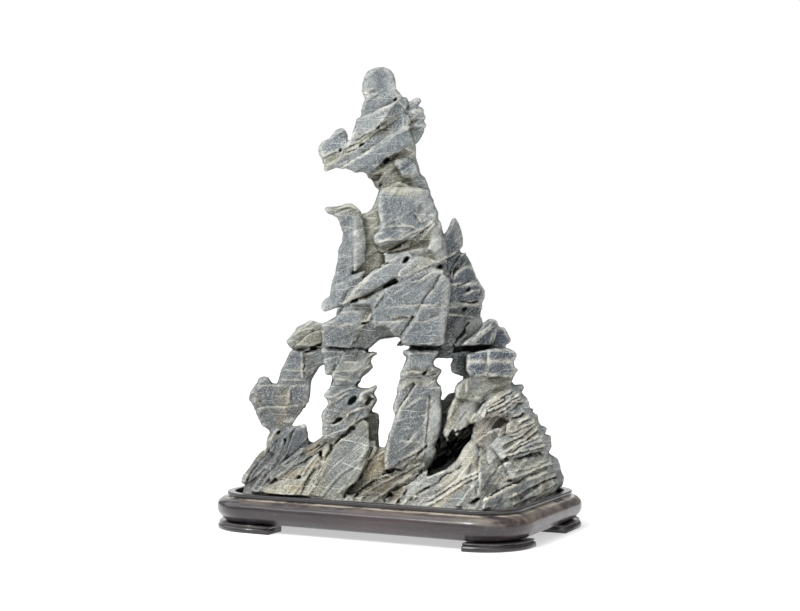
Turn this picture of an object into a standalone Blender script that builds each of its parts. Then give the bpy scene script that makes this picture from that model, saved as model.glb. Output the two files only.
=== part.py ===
"""Scholar's rock: a grey, thin-bedded limestone peak with natural arches, seated in a carved hardwood stand.

Frame: +Z up, origin on the table under the middle of the stand, +X along the stand's long side, -Y its front.
The rock is one solid. It is built up from chunks, each a bevelled prism between a near and a far face, whose
outlines are drawn in millimetres on an upright elevation sheet that stands askew across the stand.
"""
import math
import random

import bmesh
import bpy
from mathutils import Vector, noise

MM = 0.001
TOUCH_GAP = 0.3  # clearance between pieces that touch, mm

# ---- stand, mm ----
RIM_HALF_LENGTH = 157.0
RIM_HALF_WIDTH = 101.0
RIM_CORNER = 40.0
RIM_TOP = 36.0
RIM_WALL = 8.0
RIM_ROOT = 31.0  # where the rim rises from the belly
RECESS_FLOOR = 26.0
BODY_BOTTOM = 8.0
BELLY_BULGE = 10.2  # how far the belly stands out past the rim
FOOT_REACH = 9.3  # how far a foot stands out past the rim
FOOT_BREADTH = 26.0

# ---- elevation sheet, mm ----
SHEET_TURN = math.radians(26.5)  # the sheet is turned this far from the stand's long side
EYE_DISTANCE = 1400.0  # outlines are drawn as seen from this far in front of the sheet
EYE_HEIGHT = 220.0
SHEET_AXIS_X = 400.0  # sheet x of the stand's middle, and sheet y of the eye line
SHEET_EYE_Y = 305.5

# ---- rock ----
CHUNK_CHAMFER = 2.4
FAR_TILT = 0.14  # how much the far faces lean back up and to the right
REAR_REACH = 90.0  # how far behind the stand's middle the rock may reach
FUSE_VOXEL = 2.0
REFUSE_VOXEL = 1.6  # the weathered skin is fused once more, where its folds touch
BED_DIP = math.radians(33.0)  # the beds climb to the right at this angle across the sheet
BED_THICKNESS = 9.0
BED_RELIEF = 1.3
LUMP_RELIEF = 1.2
ROCK_TRIANGLES = 8000
SEAT_CLEARANCE = 1.6  # between the rock's sides and the rim
SEAT_HALF_LENGTH = 141.0
OVERHANG_HALF_LENGTH = 160.0  # above the rim the rock may reach this far over it
OVERHANG_HALF_WIDTH = 104.0
SEAT_CORNER = 30.0

STONE_COLOUR = (0.24, 0.26, 0.27, 1.0)
WOOD_COLOUR = (0.035, 0.024, 0.022, 1.0)

# Each chunk: name, near face, far face, lean, turn and outline. near and far are distances in front of the
# sheet; lean is how much nearer the near face comes for each millimetre down, turn for each to the right.
CREST = [
    ("crown", 14, -14, 0.1, 0.0, [(364, 76), (367, 71), (373, 69), (383, 67), (390, 70), (394, 75), (395, 83),
     (396, 89), (400, 95), (401, 99), (390, 104), (374, 104), (366, 99), (363, 95), (362, 87)]),
    ("crown_shoulder", 17, -15, 0.1, 0.0, [(366, 98), (380, 91), (401, 98), (400, 103), (385, 109), (362, 120),
     (361, 110)]),
    ("crest_blade", 23, -13, 0.1, 0.2, [(357, 118), (362, 118), (385, 108), (397, 102), (392, 112), (381, 126),
     (362, 135), (352, 141), (354, 130)]),
    ("crest_blade_right", 19, -18, 0.0, -0.3, [(396, 102), (402, 98), (406, 98), (408, 102), (405, 113),
     (392, 120), (382, 125), (391, 111)]),
    ("beak_slab_upper", 20, -12, 0.2, 0.1, [(346, 144), (360, 136), (380, 126), (404, 112), (409, 118),
     (409, 128), (392, 136), (370, 148), (352, 157), (336, 166), (326, 171), (324, 170), (326, 165), (323, 163),
     (323, 158)]),
    ("beak_slab_lower", 25, -18, -0.1, 0.1, [(350, 159), (370, 149), (392, 136), (409, 127), (413, 141),
     (400, 151), (384, 159), (379, 166), (369, 175), (361, 171), (356, 173), (352, 170), (345, 167), (335, 168)]),
    ("beak_knob", 15, -9, 0.3, 0.0, [(319, 148), (322, 143), (330, 139), (334, 133), (336, 130), (342, 128),
     (346, 130), (348, 135), (346, 141), (350, 142), (341, 150), (330, 156), (323, 159), (320, 155)]),
    ("fan_plate_1", 5, -10, 0.0, -0.3, [(403, 108), (414, 99), (419, 98), (421, 101), (416, 106), (417, 108),
     (405, 113)]),
    ("fan_plate_2", 8, -12, 0.0, -0.3, [(403, 112), (418, 107), (424, 110), (422, 114), (405, 119)]),
    ("fan_plate_3", 6, -14, 0.0, -0.3, [(405, 117), (422, 114), (426, 117), (422, 122), (410, 126)]),
    ("fan_plate_4", 9, -12, 0.0, -0.3, [(407, 123), (424, 122), (427, 125), (425, 128), (409, 129)]),
    ("fan_root", 1, -18, 0.0, -0.6, [(409, 126), (425, 127), (424, 133), (417, 142), (412, 144)]),
]
NECK = [
    ("neck", 14, -20, -0.2, -0.1, [(367, 175), (380, 166), (398, 153), (413, 141), (416, 148), (415, 158),
     (418, 166), (420, 176), (416, 190), (381, 190), (377, 187), (373, 181)]),
    ("neck_boulder", 22, -10, 0.0, -0.2, [(394, 160), (403, 156), (412, 160), (417, 165), (419, 174), (412, 179),
     (402, 177), (398, 171)]),
    ("neck_lobe", 8, -24, 0.0, -0.5, [(411, 180), (420, 175), (425, 179), (428, 185), (431, 192), (424, 198),
     (413, 190)]),
    ("chest", 29, -26, 0.15, -0.35, [(380, 190), (394, 188), (414, 188), (429, 190), (433, 200), (435, 208),
     (438, 212), (437, 221), (426, 228), (420, 231), (400, 231), (382, 231), (379, 215), (378, 200)]),
    ("chin_slab", 34, -10, -0.2, -0.2, [(374, 237), (382, 229), (400, 228), (423, 229), (419, 236), (402, 241),
     (380, 245), (375, 242)]),
    ("under_chin", 22, -26, -0.5, -0.1, [(378, 243), (400, 239), (420, 233), (436, 220), (438, 228), (430, 242),
     (412, 250), (400, 254), (383, 254), (379, 250)]),
    ("left_saddle", 6, -24, 0.1, 0.2, [(362, 214), (368, 213), (373, 209), (376, 201), (379, 192), (386, 200),
     (386, 234), (378, 240), (360, 240)]),
    ("horn", 13, -11, 0.2, 0.0, [(324, 209), (327, 206), (335, 207), (341, 206), (347, 203), (351, 203),
     (356, 207), (363, 215), (357, 218), (345, 216), (338, 217), (331, 214), (327, 213)]),
    ("column_left", 17, -18, 0.1, 0.2, [(337, 216), (345, 213), (352, 215), (354, 230), (354, 262), (350, 277),
     (336, 287), (331, 291), (332, 284), (336, 272), (338, 260), (339, 250), (342, 243), (344, 235), (341, 227)]),
    ("column_right", 20, -22, 0.1, -0.6, [(351, 215), (359, 214), (364, 222), (366, 240), (364, 262), (354, 272),
     (353, 240)]),
    ("column_back", 8, -32, 0.1, 0.0, [(345, 214), (366, 216), (386, 214), (386, 258), (380, 270), (340, 292),
     (336, 284), (343, 240)]),
    ("flank_tip", 24, -22, 0.3, 0.2, [(331, 291), (336, 283), (350, 276), (366, 271), (358, 284), (346, 296),
     (341, 306), (333, 308), (324, 311), (322, 308), (324, 301), (331, 296)]),
]
SHOULDER = [
    ("rolled_slab", 33, -22, 0.2, 0.1, [(341, 306), (349, 292), (362, 281), (380, 268), (395, 256), (408, 249),
     (413, 256), (404, 265), (399, 275), (380, 287), (362, 295), (351, 303)]),
    ("rolled_slab_right", 35, -24, 0.2, -0.1, [(395, 278), (403, 265), (411, 258), (422, 256), (442, 262),
     (430, 269), (415, 274), (400, 281)]),
    ("shoulder_right", 24, -30, 0.3, -0.2, [(384, 253), (400, 251), (428, 241), (437, 228), (446, 240),
     (448, 262), (432, 268), (404, 264), (386, 266)]),
    ("fin_front", 22, -4, 0.3, -0.3, [(426, 250), (432, 234), (438, 222), (440, 221), (442, 230), (442, 248),
     (434, 254)]),
    ("fin_back", 4, -30, 0.2, -1.0, [(440, 242), (449, 229), (452, 219), (455, 218), (459, 226), (462, 236),
     (463, 245), (459, 251), (450, 258), (440, 258)]),
    ("right_boss_1", 2, -40, 0.2, -1.0, [(443, 258), (456, 251), (463, 253), (468, 257), (471, 266), (462, 271),
     (450, 277), (442, 274)]),
    ("right_boss_2", 0, -44, 0.0, -1.0, [(446, 275), (463, 266), (471, 266), (476, 277), (479, 284), (468, 288),
     (446, 287)]),
    ("right_boss_3", -2, -46, 0.0, -1.0, [(446, 285), (470, 284), (479, 283), (484, 291), (484, 297), (481, 303),
     (466, 305), (446, 304)]),
    ("right_boss_4", 0, -46, 0.0, -0.9, [(444, 302), (466, 303), (481, 303), (481, 309), (479, 317), (465, 319),
     (444, 316)]),
    ("right_boss_5", 6, -40, 0.2, -0.9, [(442, 312), (465, 315), (480, 317), (482, 322), (479, 332), (474, 345),
     (442, 347)]),
    ("brow", 41, -28, 0.1, 0.0, [(350, 304), (362, 299), (380, 290), (400, 281), (415, 272), (432, 267),
     (444, 270), (442, 280), (426, 303), (410, 322), (401, 337), (394, 336), (384, 326), (372, 330), (371, 306)]),
    ("brow_root", 27, -22, 0.1, 0.0, [(344, 304), (352, 295), (366, 290), (382, 284), (386, 318), (362, 320),
     (348, 316)]),
    ("arch_left", 35, -26, 0.1, 0.1, [(322, 325), (335, 318), (343, 308), (352, 303), (372, 305), (375, 310),
     (367, 326), (350, 348), (325, 348), (322, 338)]),
    ("arch_middle", 37, -24, -0.3, 0.1, [(347, 348), (365, 326), (374, 307), (386, 309), (402, 322), (401, 337),
     (394, 336), (388, 335), (382, 337), (376, 342), (369, 348)]),
    ("arch_right", 52, -20, 0.1, -0.2, [(401, 338), (411, 318), (424, 302), (441, 276), (446, 275), (451, 282),
     (449, 305), (446, 330), (444, 343), (438, 346), (420, 345), (407, 346), (402, 343)]),
    ("left_wing", 8, -36, 0.4, 0.2, [(287, 342), (297, 331), (297, 328), (305, 325), (311, 321), (315, 323),
     (326, 325), (330, 348), (293, 348), (290, 345)]),
    ("right_wing", 30, -14, 0.2, -0.8, [(462, 345), (472, 337), (480, 330), (484, 323), (490, 319), (496, 321),
     (498, 328), (494, 345)]),
    ("right_wing_tip", 16, -16, 0.1, -0.6, [(490, 344), (494, 331), (498, 328), (504, 328), (507, 335),
     (511, 341), (504, 345), (505, 351), (490, 350)]),
]
JOINT = [
    ("joint_left", 4, -30, 0.0, 0.2, [(294, 345), (330, 345), (330, 353), (294, 353)]),
    ("joint_middle", 30, -20, 0.0, 0.0, [(322, 344), (368, 344), (366, 354), (322, 354)]),
    ("joint_right", 22, -22, 0.0, -0.2, [(409, 341), (445, 341), (453, 341), (453, 357), (434, 357), (409, 354)]),
    ("joint_far_right", 8, -40, 0.0, -0.2, [(446, 341), (504, 341), (504, 354), (446, 354)]),
]
PILLARS = [
    ("flag", 2, -34, 0.1, 0.2, [(292, 350), (303, 350), (326, 351), (325, 362), (320, 366), (316, 371),
     (311, 381), (310, 392), (308, 402), (303, 409), (296, 416), (292, 424), (286, 432), (272, 433), (269, 429),
     (263, 426), (260, 421), (256, 413), (254, 405), (250, 400), (250, 398), (252, 391), (258, 383), (259, 378),
     (263, 377), (268, 377), (270, 381), (273, 385), (277, 384), (279, 380), (282, 371), (286, 363), (289, 356)]),
    ("second_stub", 27, -20, 0.1, 0.2, [(325, 351), (345, 351), (332, 374), (328, 375), (325, 374)]),
    ("second_cap", 30, -20, 0.1, -0.2, [(342, 350), (368, 350), (379, 353), (372, 358), (371, 362), (374, 367),
     (370, 372), (362, 378), (360, 384), (336, 385), (333, 378), (331, 374)]),
    ("second_shaft", 34, -20, 0.2, -0.2, [(334, 382), (360, 380), (356, 387), (370, 387), (376, 384), (378, 387),
     (373, 394), (378, 399), (376, 403), (370, 412), (366, 417), (347, 432), (325, 443), (323, 432), (323, 421),
     (322, 414), (324, 409), (328, 406), (328, 399), (324, 396), (330, 388)]),
    ("second_foot", 50, -16, 0.5, 0.2, [(316, 500), (320, 470), (324, 446), (344, 432), (354, 425), (363, 418),
     (369, 422), (369, 444), (366, 462), (358, 478), (348, 493), (340, 500)]),
    ("second_heel", 20, -24, 0.3, -0.6, [(362, 416), (371, 412), (378, 413), (379, 420), (378, 432), (379, 449),
     (372, 456), (362, 456)]),
    ("second_root", 44, 0, 0.6, 0.0, [(356, 474), (361, 455), (367, 444), (372, 440), (376, 441), (377, 450),
     (368, 462)]),
    ("third_cap", 46, -10, 0.0, -0.3, [(402, 351), (407, 350), (437, 350), (439, 352), (435, 357), (432, 362),
     (433, 367), (437, 369), (441, 370), (440, 373), (436, 379), (400, 379), (400, 373), (404, 364), (407, 358),
     (404, 354)]),
    ("third_shaft", 54, -6, 0.2, -0.3, [(401, 377), (435, 376), (437, 384), (441, 386), (441, 400), (442, 410),
     (442, 420), (440, 430), (437, 440), (434, 446), (436, 452), (431, 462), (425, 470), (418, 464), (400, 470),
     (384, 470), (384, 462), (386, 445), (389, 434), (393, 424), (395, 416), (393, 408), (394, 403), (397, 396),
     (398, 391), (397, 390), (399, 385)]),
]
FOOT_SLABS = [
    ("knuckle", 8, -36, 0.4, 0.1, [(267, 440), (271, 433), (278, 430), (288, 426), (291, 432), (286, 446),
     (276, 456), (268, 449)]),
    ("left_fin", 14, -24, 0.3, 0.2, [(282, 438), (288, 427), (298, 426), (304, 423), (306, 424), (307, 432),
     (309, 442), (304, 449), (290, 458), (278, 458)]),
    ("left_flank", 10, -30, 0.4, 0.2, [(242, 482), (244, 476), (250, 469), (257, 459), (262, 453), (268, 448),
     (272, 456), (270, 468), (262, 475), (252, 481), (246, 484)]),
    ("left_slab_1", 28, -24, 0.6, 0.2, [(250, 491), (258, 478), (270, 462), (284, 443), (292, 443), (289, 454),
     (277, 469), (267, 489), (258, 495)]),
    ("left_slab_2", 36, -16, 0.6, 0.2, [(261, 493), (272, 474), (288, 460), (304, 448), (316, 442), (323, 437),
     (328, 444), (313, 458), (293, 473), (277, 485)]),
    ("left_slab_3", 48, -10, 0.6, 0.3, [(264, 493), (283, 479), (300, 466), (314, 456), (320, 455), (311, 474),
     (298, 499), (281, 498), (270, 496)]),
    ("left_slab_4", 54, 0, 0.6, 0.3, [(300, 499), (308, 480), (321, 457), (327, 462), (321, 480), (320, 500)]),
    ("middle_saddle", 46, -20, 0.7, 0.3, [(350, 496), (359, 470), (368, 457), (378, 448), (388, 447), (392, 472),
     (374, 484), (360, 496)]),
    ("front_slab_1", 74, 0, 0.7, 0.4, [(346, 501), (362, 487), (386, 474), (402, 468), (424, 463), (424, 472),
     (396, 486), (374, 503)]),
    ("front_slab_2", 88, 10, 0.7, 0.4, [(370, 504), (390, 488), (410, 476), (428, 470), (426, 482), (404, 496),
     (386, 506)]),
    ("front_slab_3", 98, 20, 0.7, 0.4, [(388, 506), (402, 494), (424, 480), (444, 471), (456, 462), (452, 478),
     (428, 496), (410, 508)]),
    ("front_slab_4", 108, 30, 0.7, 0.4, [(404, 508), (426, 492), (450, 478), (464, 462), (472, 462), (462, 482),
     (436, 506), (428, 509)]),
    ("front_slab_5", 118, 40, 0.7, 0.3, [(430, 510), (450, 492), (468, 476), (480, 468), (484, 484), (466, 504),
     (460, 511)]),
]
RIGHT_PEAK = [
    ("peak_stub", 22, -20, 0.0, 0.2, [(452, 354), (470, 351), (470, 377), (463, 376), (452, 372), (451, 365),
     (454, 360)]),
    ("peak_block_1", 44, -20, 0.1, -0.2, [(467, 354), (488, 349), (488, 361), (466, 362)]),
    ("peak_block_2", 48, -20, 0.1, -0.2, [(467, 361), (487, 361), (487, 376), (470, 377), (466, 370)]),
    ("peak_block_3", 38, -24, 0.1, -0.9, [(487, 349), (505, 348), (513, 351), (516, 354), (515, 359), (512, 362),
     (487, 362)]),
    ("peak_block_4", 40, -26, 0.1, -0.9, [(487, 361), (513, 361), (513, 367), (517, 370), (516, 372), (512, 377),
     (486, 377)]),
    ("peak_waist", 46, -26, 0.3, -0.5, [(464, 379), (486, 375), (512, 376), (511, 381), (514, 386), (500, 398),
     (480, 402), (456, 398), (455, 388), (459, 383)]),
    ("peak_white_slab", 52, -16, 0.3, -0.2, [(444, 432), (449, 412), (456, 394), (468, 396), (482, 396),
     (474, 414), (464, 430), (455, 440), (447, 441)]),
    ("peak_shadow_slab", 10, -34, 0.2, 0.0, [(441, 402), (449, 393), (458, 394), (456, 440), (440, 450),
     (441, 420)]),
    ("cavity_wall", -8, -44, 0.2, 0.0, [(420, 440), (446, 420), (476, 420), (480, 480), (430, 492), (418, 480)]),
    ("step_1", 52, -30, 0.3, -1.0, [(470, 420), (484, 406), (500, 394), (514, 386), (522, 385), (523, 388),
     (520, 393), (500, 404), (484, 420), (476, 428)]),
    ("step_2", 54, -36, 0.3, -1.1, [(482, 420), (490, 409), (506, 400), (520, 393), (527, 399), (528, 404),
     (510, 411), (496, 416)]),
    ("step_3", 52, -40, 0.3, -1.2, [(496, 414), (512, 409), (528, 402), (530, 412), (519, 419), (506, 421)]),
    ("step_4", 50, -44, 0.3, -1.3, [(508, 424), (519, 418), (530, 412), (537, 415), (538, 421), (541, 427),
     (522, 434), (508, 436)]),
    ("step_5", 60, -44, 0.4, -1.3, [(490, 446), (500, 436), (520, 430), (541, 426), (546, 428), (543, 436),
     (526, 444), (500, 456)]),
    ("step_6", 62, -48, 0.3, -1.4, [(498, 456), (514, 447), (530, 439), (543, 435), (550, 436), (551, 447),
     (547, 453), (520, 458), (508, 460)]),
    ("step_7", 58, -50, 0.4, -1.5, [(504, 464), (520, 458), (546, 452), (557, 459), (560, 469), (540, 475),
     (512, 480)]),
    ("step_8", 74, -50, 0.5, -1.7, [(486, 496), (504, 484), (530, 474), (560, 468), (564, 480), (562, 486),
     (548, 496), (520, 510), (482, 511)]),
    ("pocket_floor", 40, -40, 0.2, -0.8, [(484, 414), (520, 408), (522, 434), (488, 436)]),
    ("peak_knob", 76, 0, 0.4, -0.2, [(471, 437), (476, 427), (481, 421), (488, 421), (492, 426), (493, 432),
     (486, 440), (478, 446)]),
    ("peak_chest", 82, -10, 0.6, -0.3, [(462, 470), (466, 450), (474, 436), (492, 430), (510, 436), (512, 462),
     (506, 478), (488, 492), (468, 492)]),
    ("peak_flow", 92, 0, 0.7, 0.2, [(424, 500), (444, 478), (456, 462), (464, 446), (474, 438), (480, 452),
     (474, 476), (456, 496), (436, 510)]),
    ("peak_toe", 112, 10, 0.7, -0.5, [(452, 511), (466, 494), (482, 478), (504, 472), (516, 484), (514, 508),
     (500, 511)]),
]

REAR = [
    ("rear_crest", -8, -24, 0.0, 0.2, [(366, 82), (386, 76), (396, 98), (404, 118), (398, 138), (372, 146),
     (358, 128), (364, 104)]),
    ("rear_beak", -6, -26, 0.1, -0.2, [(348, 152), (404, 118), (410, 140), (384, 164), (362, 168)]),
    ("rear_neck", -16, -36, 0.1, 0.1, [(384, 172), (412, 150), (416, 182), (430, 204), (430, 226), (384, 234),
     (382, 196)]),
    ("rear_saddle", -20, -48, 0.2, 0.2, [(348, 240), (384, 218), (430, 214), (440, 246), (398, 282),
     (342, 288)]),
    ("rear_bed_1", -22, -54, 0.1, 0.2, [(342, 296), (398, 262), (462, 256), (468, 274), (400, 310),
     (336, 316)]),
    ("rear_bed_2", -20, -60, 0.1, 0.1, [(330, 330), (398, 296), (474, 276), (478, 296), (410, 334),
     (330, 346)]),
    ("rear_bed_3", -22, -54, 0.1, -0.1, [(396, 346), (420, 320), (476, 300), (474, 342)]),
    ("rear_left_shelf", -14, -46, 0.2, 0.1, [(298, 346), (314, 328), (352, 326), (372, 346)]),
    ("rear_second", -12, -38, 0.1, -0.1, [(338, 352), (360, 352), (352, 386), (344, 428), (330, 434),
     (330, 390)]),
    ("rear_third", -2, -34, 0.1, 0.1, [(410, 350), (430, 352), (428, 380), (434, 410), (426, 462), (392, 462),
     (400, 410)]),
    ("rear_peak_1", -18, -56, 0.1, 0.2, [(466, 354), (506, 354), (508, 382), (476, 400), (462, 386)]),
    ("rear_peak_2", -24, -66, 0.2, 0.2, [(452, 404), (510, 384), (528, 420), (470, 448), (446, 440)]),
    ("rear_peak_3", -30, -70, 0.2, 0.2, [(430, 452), (530, 424), (546, 448), (520, 478), (424, 500)]),
    ("rear_ridge_1", -12, -66, 0.3, 0.1, [(272, 452), (300, 436), (330, 452), (310, 492), (256, 494)]),
    ("rear_ridge_2", -10, -80, 0.4, 0.0, [(312, 470), (350, 446), (392, 462), (384, 498), (304, 498)]),
    ("rear_ridge_3", -20, -92, 0.4, 0.0, [(376, 484), (430, 452), (480, 456), (476, 498), (370, 500)]),
]

# Thin plates of the beds stand out of the rear in clusters: name, sheet x and y of its middle, how far it
# spreads, the plates' dip in degrees, how many there are, and how far behind the sheet they reach.
REAR_PLATES = [
    ("crest_plates", 386, 122, 9, 20, 32.0, 7, 24),
    ("neck_plates", 402, 205, 14, 26, 28.0, 9, 36),
    ("column_plates", 350, 248, 5, 24, 20.0, 5, 30),
    ("shoulder_plates", 402, 282, 36, 34, 30.0, 16, 52),
    ("peak_plates", 494, 424, 26, 34, 26.0, 12, 56),
    ("peak_foot_plates", 452, 466, 50, 14, 34.0, 10, 74),
    ("left_foot_plates", 316, 476, 34, 6, 40.0, 9, 64),
]


def clear_scene():
    for obj in list(bpy.data.objects):
        bpy.data.objects.remove(obj)


def make_material(name, colour, roughness):
    material = bpy.data.materials.new(name)
    material.use_nodes = True
    shader = material.node_tree.nodes["Principled BSDF"]
    shader.inputs["Base Color"].default_value = colour
    shader.inputs["Roughness"].default_value = roughness
    shader.inputs["Metallic"].default_value = 0.0
    return material


def new_collection(name):
    collection = bpy.data.collections.new(name)
    bpy.context.scene.collection.children.link(collection)
    return collection


def object_from(bm, name, collection, material):
    mesh = bpy.data.meshes.new(name)
    bm.to_mesh(mesh)
    bm.free()
    mesh.materials.append(material)
    obj = bpy.data.objects.new(name, mesh)
    collection.objects.link(obj)
    return obj


# ---------------------------------------------------------------- rock
ACROSS = Vector((math.cos(SHEET_TURN), math.sin(SHEET_TURN), 0.0))
TOWARDS_EYE = Vector((math.sin(SHEET_TURN), -math.cos(SHEET_TURN), 0.0))


def off_sheet(x, y, near):
    """The point, in metres, that the eye sees at sheet point (x, y) and that lies near mm in front of it."""
    scale = (EYE_DISTANCE - near) / EYE_DISTANCE
    across = (x - SHEET_AXIS_X) * scale
    height = EYE_HEIGHT + (SHEET_EYE_Y - y) * scale
    return (ACROSS * across + TOWARDS_EYE * near + Vector((0.0, 0.0, height))) * MM


def near_depth(chunk, x, y):
    _, near, _, lean, turn, outline = chunk
    middle_x = sum(corner[0] for corner in outline) / len(outline)
    middle_y = sum(corner[1] for corner in outline) / len(outline)
    return near + lean * (y - middle_y) + turn * (x - middle_x)


def far_depth(chunk, x, y, unevenness):
    """Far faces lean back up and to the right, each a little differently, and stop over the stand's rear."""
    _, _, far, _, _, outline = chunk
    middle_x = sum(corner[0] for corner in outline) / len(outline)
    middle_y = sum(corner[1] for corner in outline) / len(outline)
    lean = FAR_TILT * (1.0 + 0.8 * unevenness)
    reached = far + lean * (x - middle_x) - lean * (y - middle_y)
    across = (x - SHEET_AXIS_X) * math.sin(SHEET_TURN)
    rear_edge = (across - REAR_REACH + 7.0 * unevenness) / math.cos(SHEET_TURN)
    return max(reached, rear_edge)


def rear_plates():
    """Scattered thin plates, drawn as chunks, each tapering to its two ends along the dip of the beds."""
    chance = random.Random(7)
    plates = []
    for name, x, y, reach_x, reach_y, dip, count, far in REAR_PLATES:
        for _ in range(count):
            around = chance.uniform(0.0, 2.0 * math.pi)
            away = math.sqrt(chance.random())
            middle_x = x + reach_x * away * math.cos(around)
            middle_y = y + reach_y * away * math.sin(around)
            half_length = chance.uniform(0.45, 0.9) * reach_x + 4.0
            half_breadth = chance.uniform(3.0, 7.0)
            slope = math.radians(dip + chance.uniform(-7.0, 7.0))
            outline = []
            for along, over in ((-1, 0.2), (-0.5, -1), (0.4, -0.9), (1, -0.2), (0.5, 1), (-0.4, 0.9)):
                run = along * half_length
                step = over * half_breadth
                outline.append((middle_x + run * math.cos(slope) + step * math.sin(slope),
                                middle_y - run * math.sin(slope) + step * math.cos(slope)))
            plates.append((name, 0, -far - chance.uniform(-3.0, 7.0), 0.0, 0.0, outline))
    return plates


def add_chunk(rock, chunk, unevenness):
    """A prism of the chunk's outline from its far face to its leaning, turned near face, both edges broken."""
    piece = bmesh.new()
    outline = chunk[5]
    back = piece.faces.new([piece.verts.new((x, y, 0.0)) for x, y in outline])
    raised = bmesh.ops.extrude_face_region(piece, geom=[back])["geom"]
    front = [item for item in raised if isinstance(item, bmesh.types.BMFace)]
    front_verts = {item for item in raised if isinstance(item, bmesh.types.BMVert)}
    for vert in piece.verts:
        x, y, _ = vert.co
        if vert in front_verts:
            vert.co = off_sheet(x, y, near_depth(chunk, x, y) - CHUNK_CHAMFER)
        else:
            vert.co = off_sheet(x, y, far_depth(chunk, x, y, unevenness))
    bmesh.ops.recalc_face_normals(piece, faces=piece.faces)
    bmesh.ops.inset_region(piece, faces=front, thickness=CHUNK_CHAMFER * MM, depth=CHUNK_CHAMFER * MM,
                           use_even_offset=False)
    bmesh.ops.triangulate(piece, faces=piece.faces)
    mesh = bpy.data.meshes.new(chunk[0])
    piece.to_mesh(mesh)
    piece.free()
    rock.from_mesh(mesh)
    bpy.data.meshes.remove(mesh)


def add_seat(rock):
    """The foot of the rock, which fills the stand's recess and stops just clear of it."""
    rings = []
    for z, inset in ((RECESS_FLOOR - 4.0, 0.0), (RIM_TOP - 1.0, 0.0), (RIM_TOP + 3.0, 5.0)):
        margin = RIM_WALL + SEAT_CLEARANCE + inset
        rings.append((rounded_outline(SEAT_HALF_LENGTH - inset, RIM_HALF_WIDTH - margin, 30.0 - inset), z))
    loft(rock, rings)


def fused(bm, voxel):
    """The outside of everything in bm as one skin; whatever is loose or sealed inside is dropped."""
    mesh = bpy.data.meshes.new("chunks")
    bm.to_mesh(mesh)
    bm.free()
    holder = bpy.data.objects.new("chunks", mesh)
    bpy.context.scene.collection.objects.link(holder)
    remesh = holder.modifiers.new("fuse", "REMESH")
    remesh.mode = "VOXEL"
    remesh.voxel_size = voxel * MM
    remesh.adaptivity = 0.0
    skin = bmesh.new()
    skin.from_object(holder, bpy.context.evaluated_depsgraph_get())
    bpy.data.objects.remove(holder)
    bpy.data.meshes.remove(mesh)
    bmesh.ops.delete(skin, geom=loose_shells(skin), context="VERTS")
    return skin


def loose_shells(bm):
    """Every vertex that is not on the largest shell."""
    bm.verts.index_update()
    unseen = set(bm.verts)
    shells = []
    while unseen:
        start = unseen.pop()
        shell = [start]
        queue = [start]
        while queue:
            vert = queue.pop()
            for edge in vert.link_edges:
                other = edge.other_vert(vert)
                if other in unseen:
                    unseen.remove(other)
                    shell.append(other)
                    queue.append(other)
        shells.append(shell)
    shells.sort(key=len)
    return [vert for shell in shells[:-1] for vert in shell]


def weather(bm):
    """Bedding ledges, grooves and lumps, pushed along the skin's own normals."""
    bm.normal_update()
    moves = []
    for vert in bm.verts:
        place = vert.co / MM
        across = place.dot(ACROSS)
        depth = place.dot(TOWARDS_EYE)
        bed = place.z * math.cos(BED_DIP) - across * math.sin(BED_DIP) + 0.3 * depth
        bed += 5.0 * noise.noise(place / 45.0)
        level = bed / BED_THICKNESS
        ledge = noise.noise(Vector((level * 1.4, across / 70.0, depth / 70.0)))
        groove = max(0.0, 1.0 - abs(level - round(level)) * BED_THICKNESS / 2.0)
        push = BED_RELIEF * (2.0 * ledge - 0.7 * groove) + LUMP_RELIEF * noise.noise(place / 20.0)
        moves.append(vert.normal * push * MM)
    for vert, move in zip(bm.verts, moves):
        vert.co += move


def keep_in_seat(bm):
    """Below the rim's top the rock stays inside the recess; everywhere it stays over the stand."""
    half_width = RIM_HALF_WIDTH - RIM_WALL - SEAT_CLEARANCE
    for vert in bm.verts:
        x, y, z = vert.co / MM
        z = max(z, RECESS_FLOOR + TOUCH_GAP)
        if z < RIM_TOP + 2.0:
            x, y = inside_rounded(x, y, RIM_HALF_LENGTH - RIM_WALL - SEAT_CLEARANCE, half_width, SEAT_CORNER)
        else:
            x, y = inside_rounded(x, y, OVERHANG_HALF_LENGTH, OVERHANG_HALF_WIDTH, RIM_CORNER)
        vert.co = Vector((x, y, z)) * MM


def inside_rounded(x, y, half_length, half_width, corner):
    """(x, y) itself if it is inside the rounded rectangle, otherwise the nearest point of its edge."""
    core_x = max(-half_length + corner, min(half_length - corner, x))
    core_y = max(-half_width + corner, min(half_width - corner, y))
    away = math.hypot(x - core_x, y - core_y)
    if away <= corner:
        return x, y
    return core_x + (x - core_x) * corner / away, core_y + (y - core_y) * corner / away


def decimated(bm, triangles, name, collection, material):
    """The skin as an object thinned to about that many triangles."""
    bmesh.ops.triangulate(bm, faces=bm.faces)
    count = len(bm.faces)
    obj = object_from(bm, name, collection, material)
    thin = obj.modifiers.new("thin", "DECIMATE")
    thin.ratio = triangles / count
    thin.use_collapse_triangulate = True
    return obj


def make_rock(collection):
    rock = bmesh.new()
    chunks = CREST + NECK + SHOULDER + JOINT + PILLARS + FOOT_SLABS + RIGHT_PEAK + REAR + rear_plates()
    for index, chunk in enumerate(chunks):
        add_chunk(rock, chunk, math.sin(2.4 * index))
    add_seat(rock)
    skin = fused(rock, FUSE_VOXEL)
    weather(skin)
    keep_in_seat(skin)
    skin = fused(skin, REFUSE_VOXEL)
    keep_in_seat(skin)
    stone = make_material("stone_grey_limestone", STONE_COLOUR, 0.85)
    return decimated(skin, ROCK_TRIANGLES, "rock", collection, stone)


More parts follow.
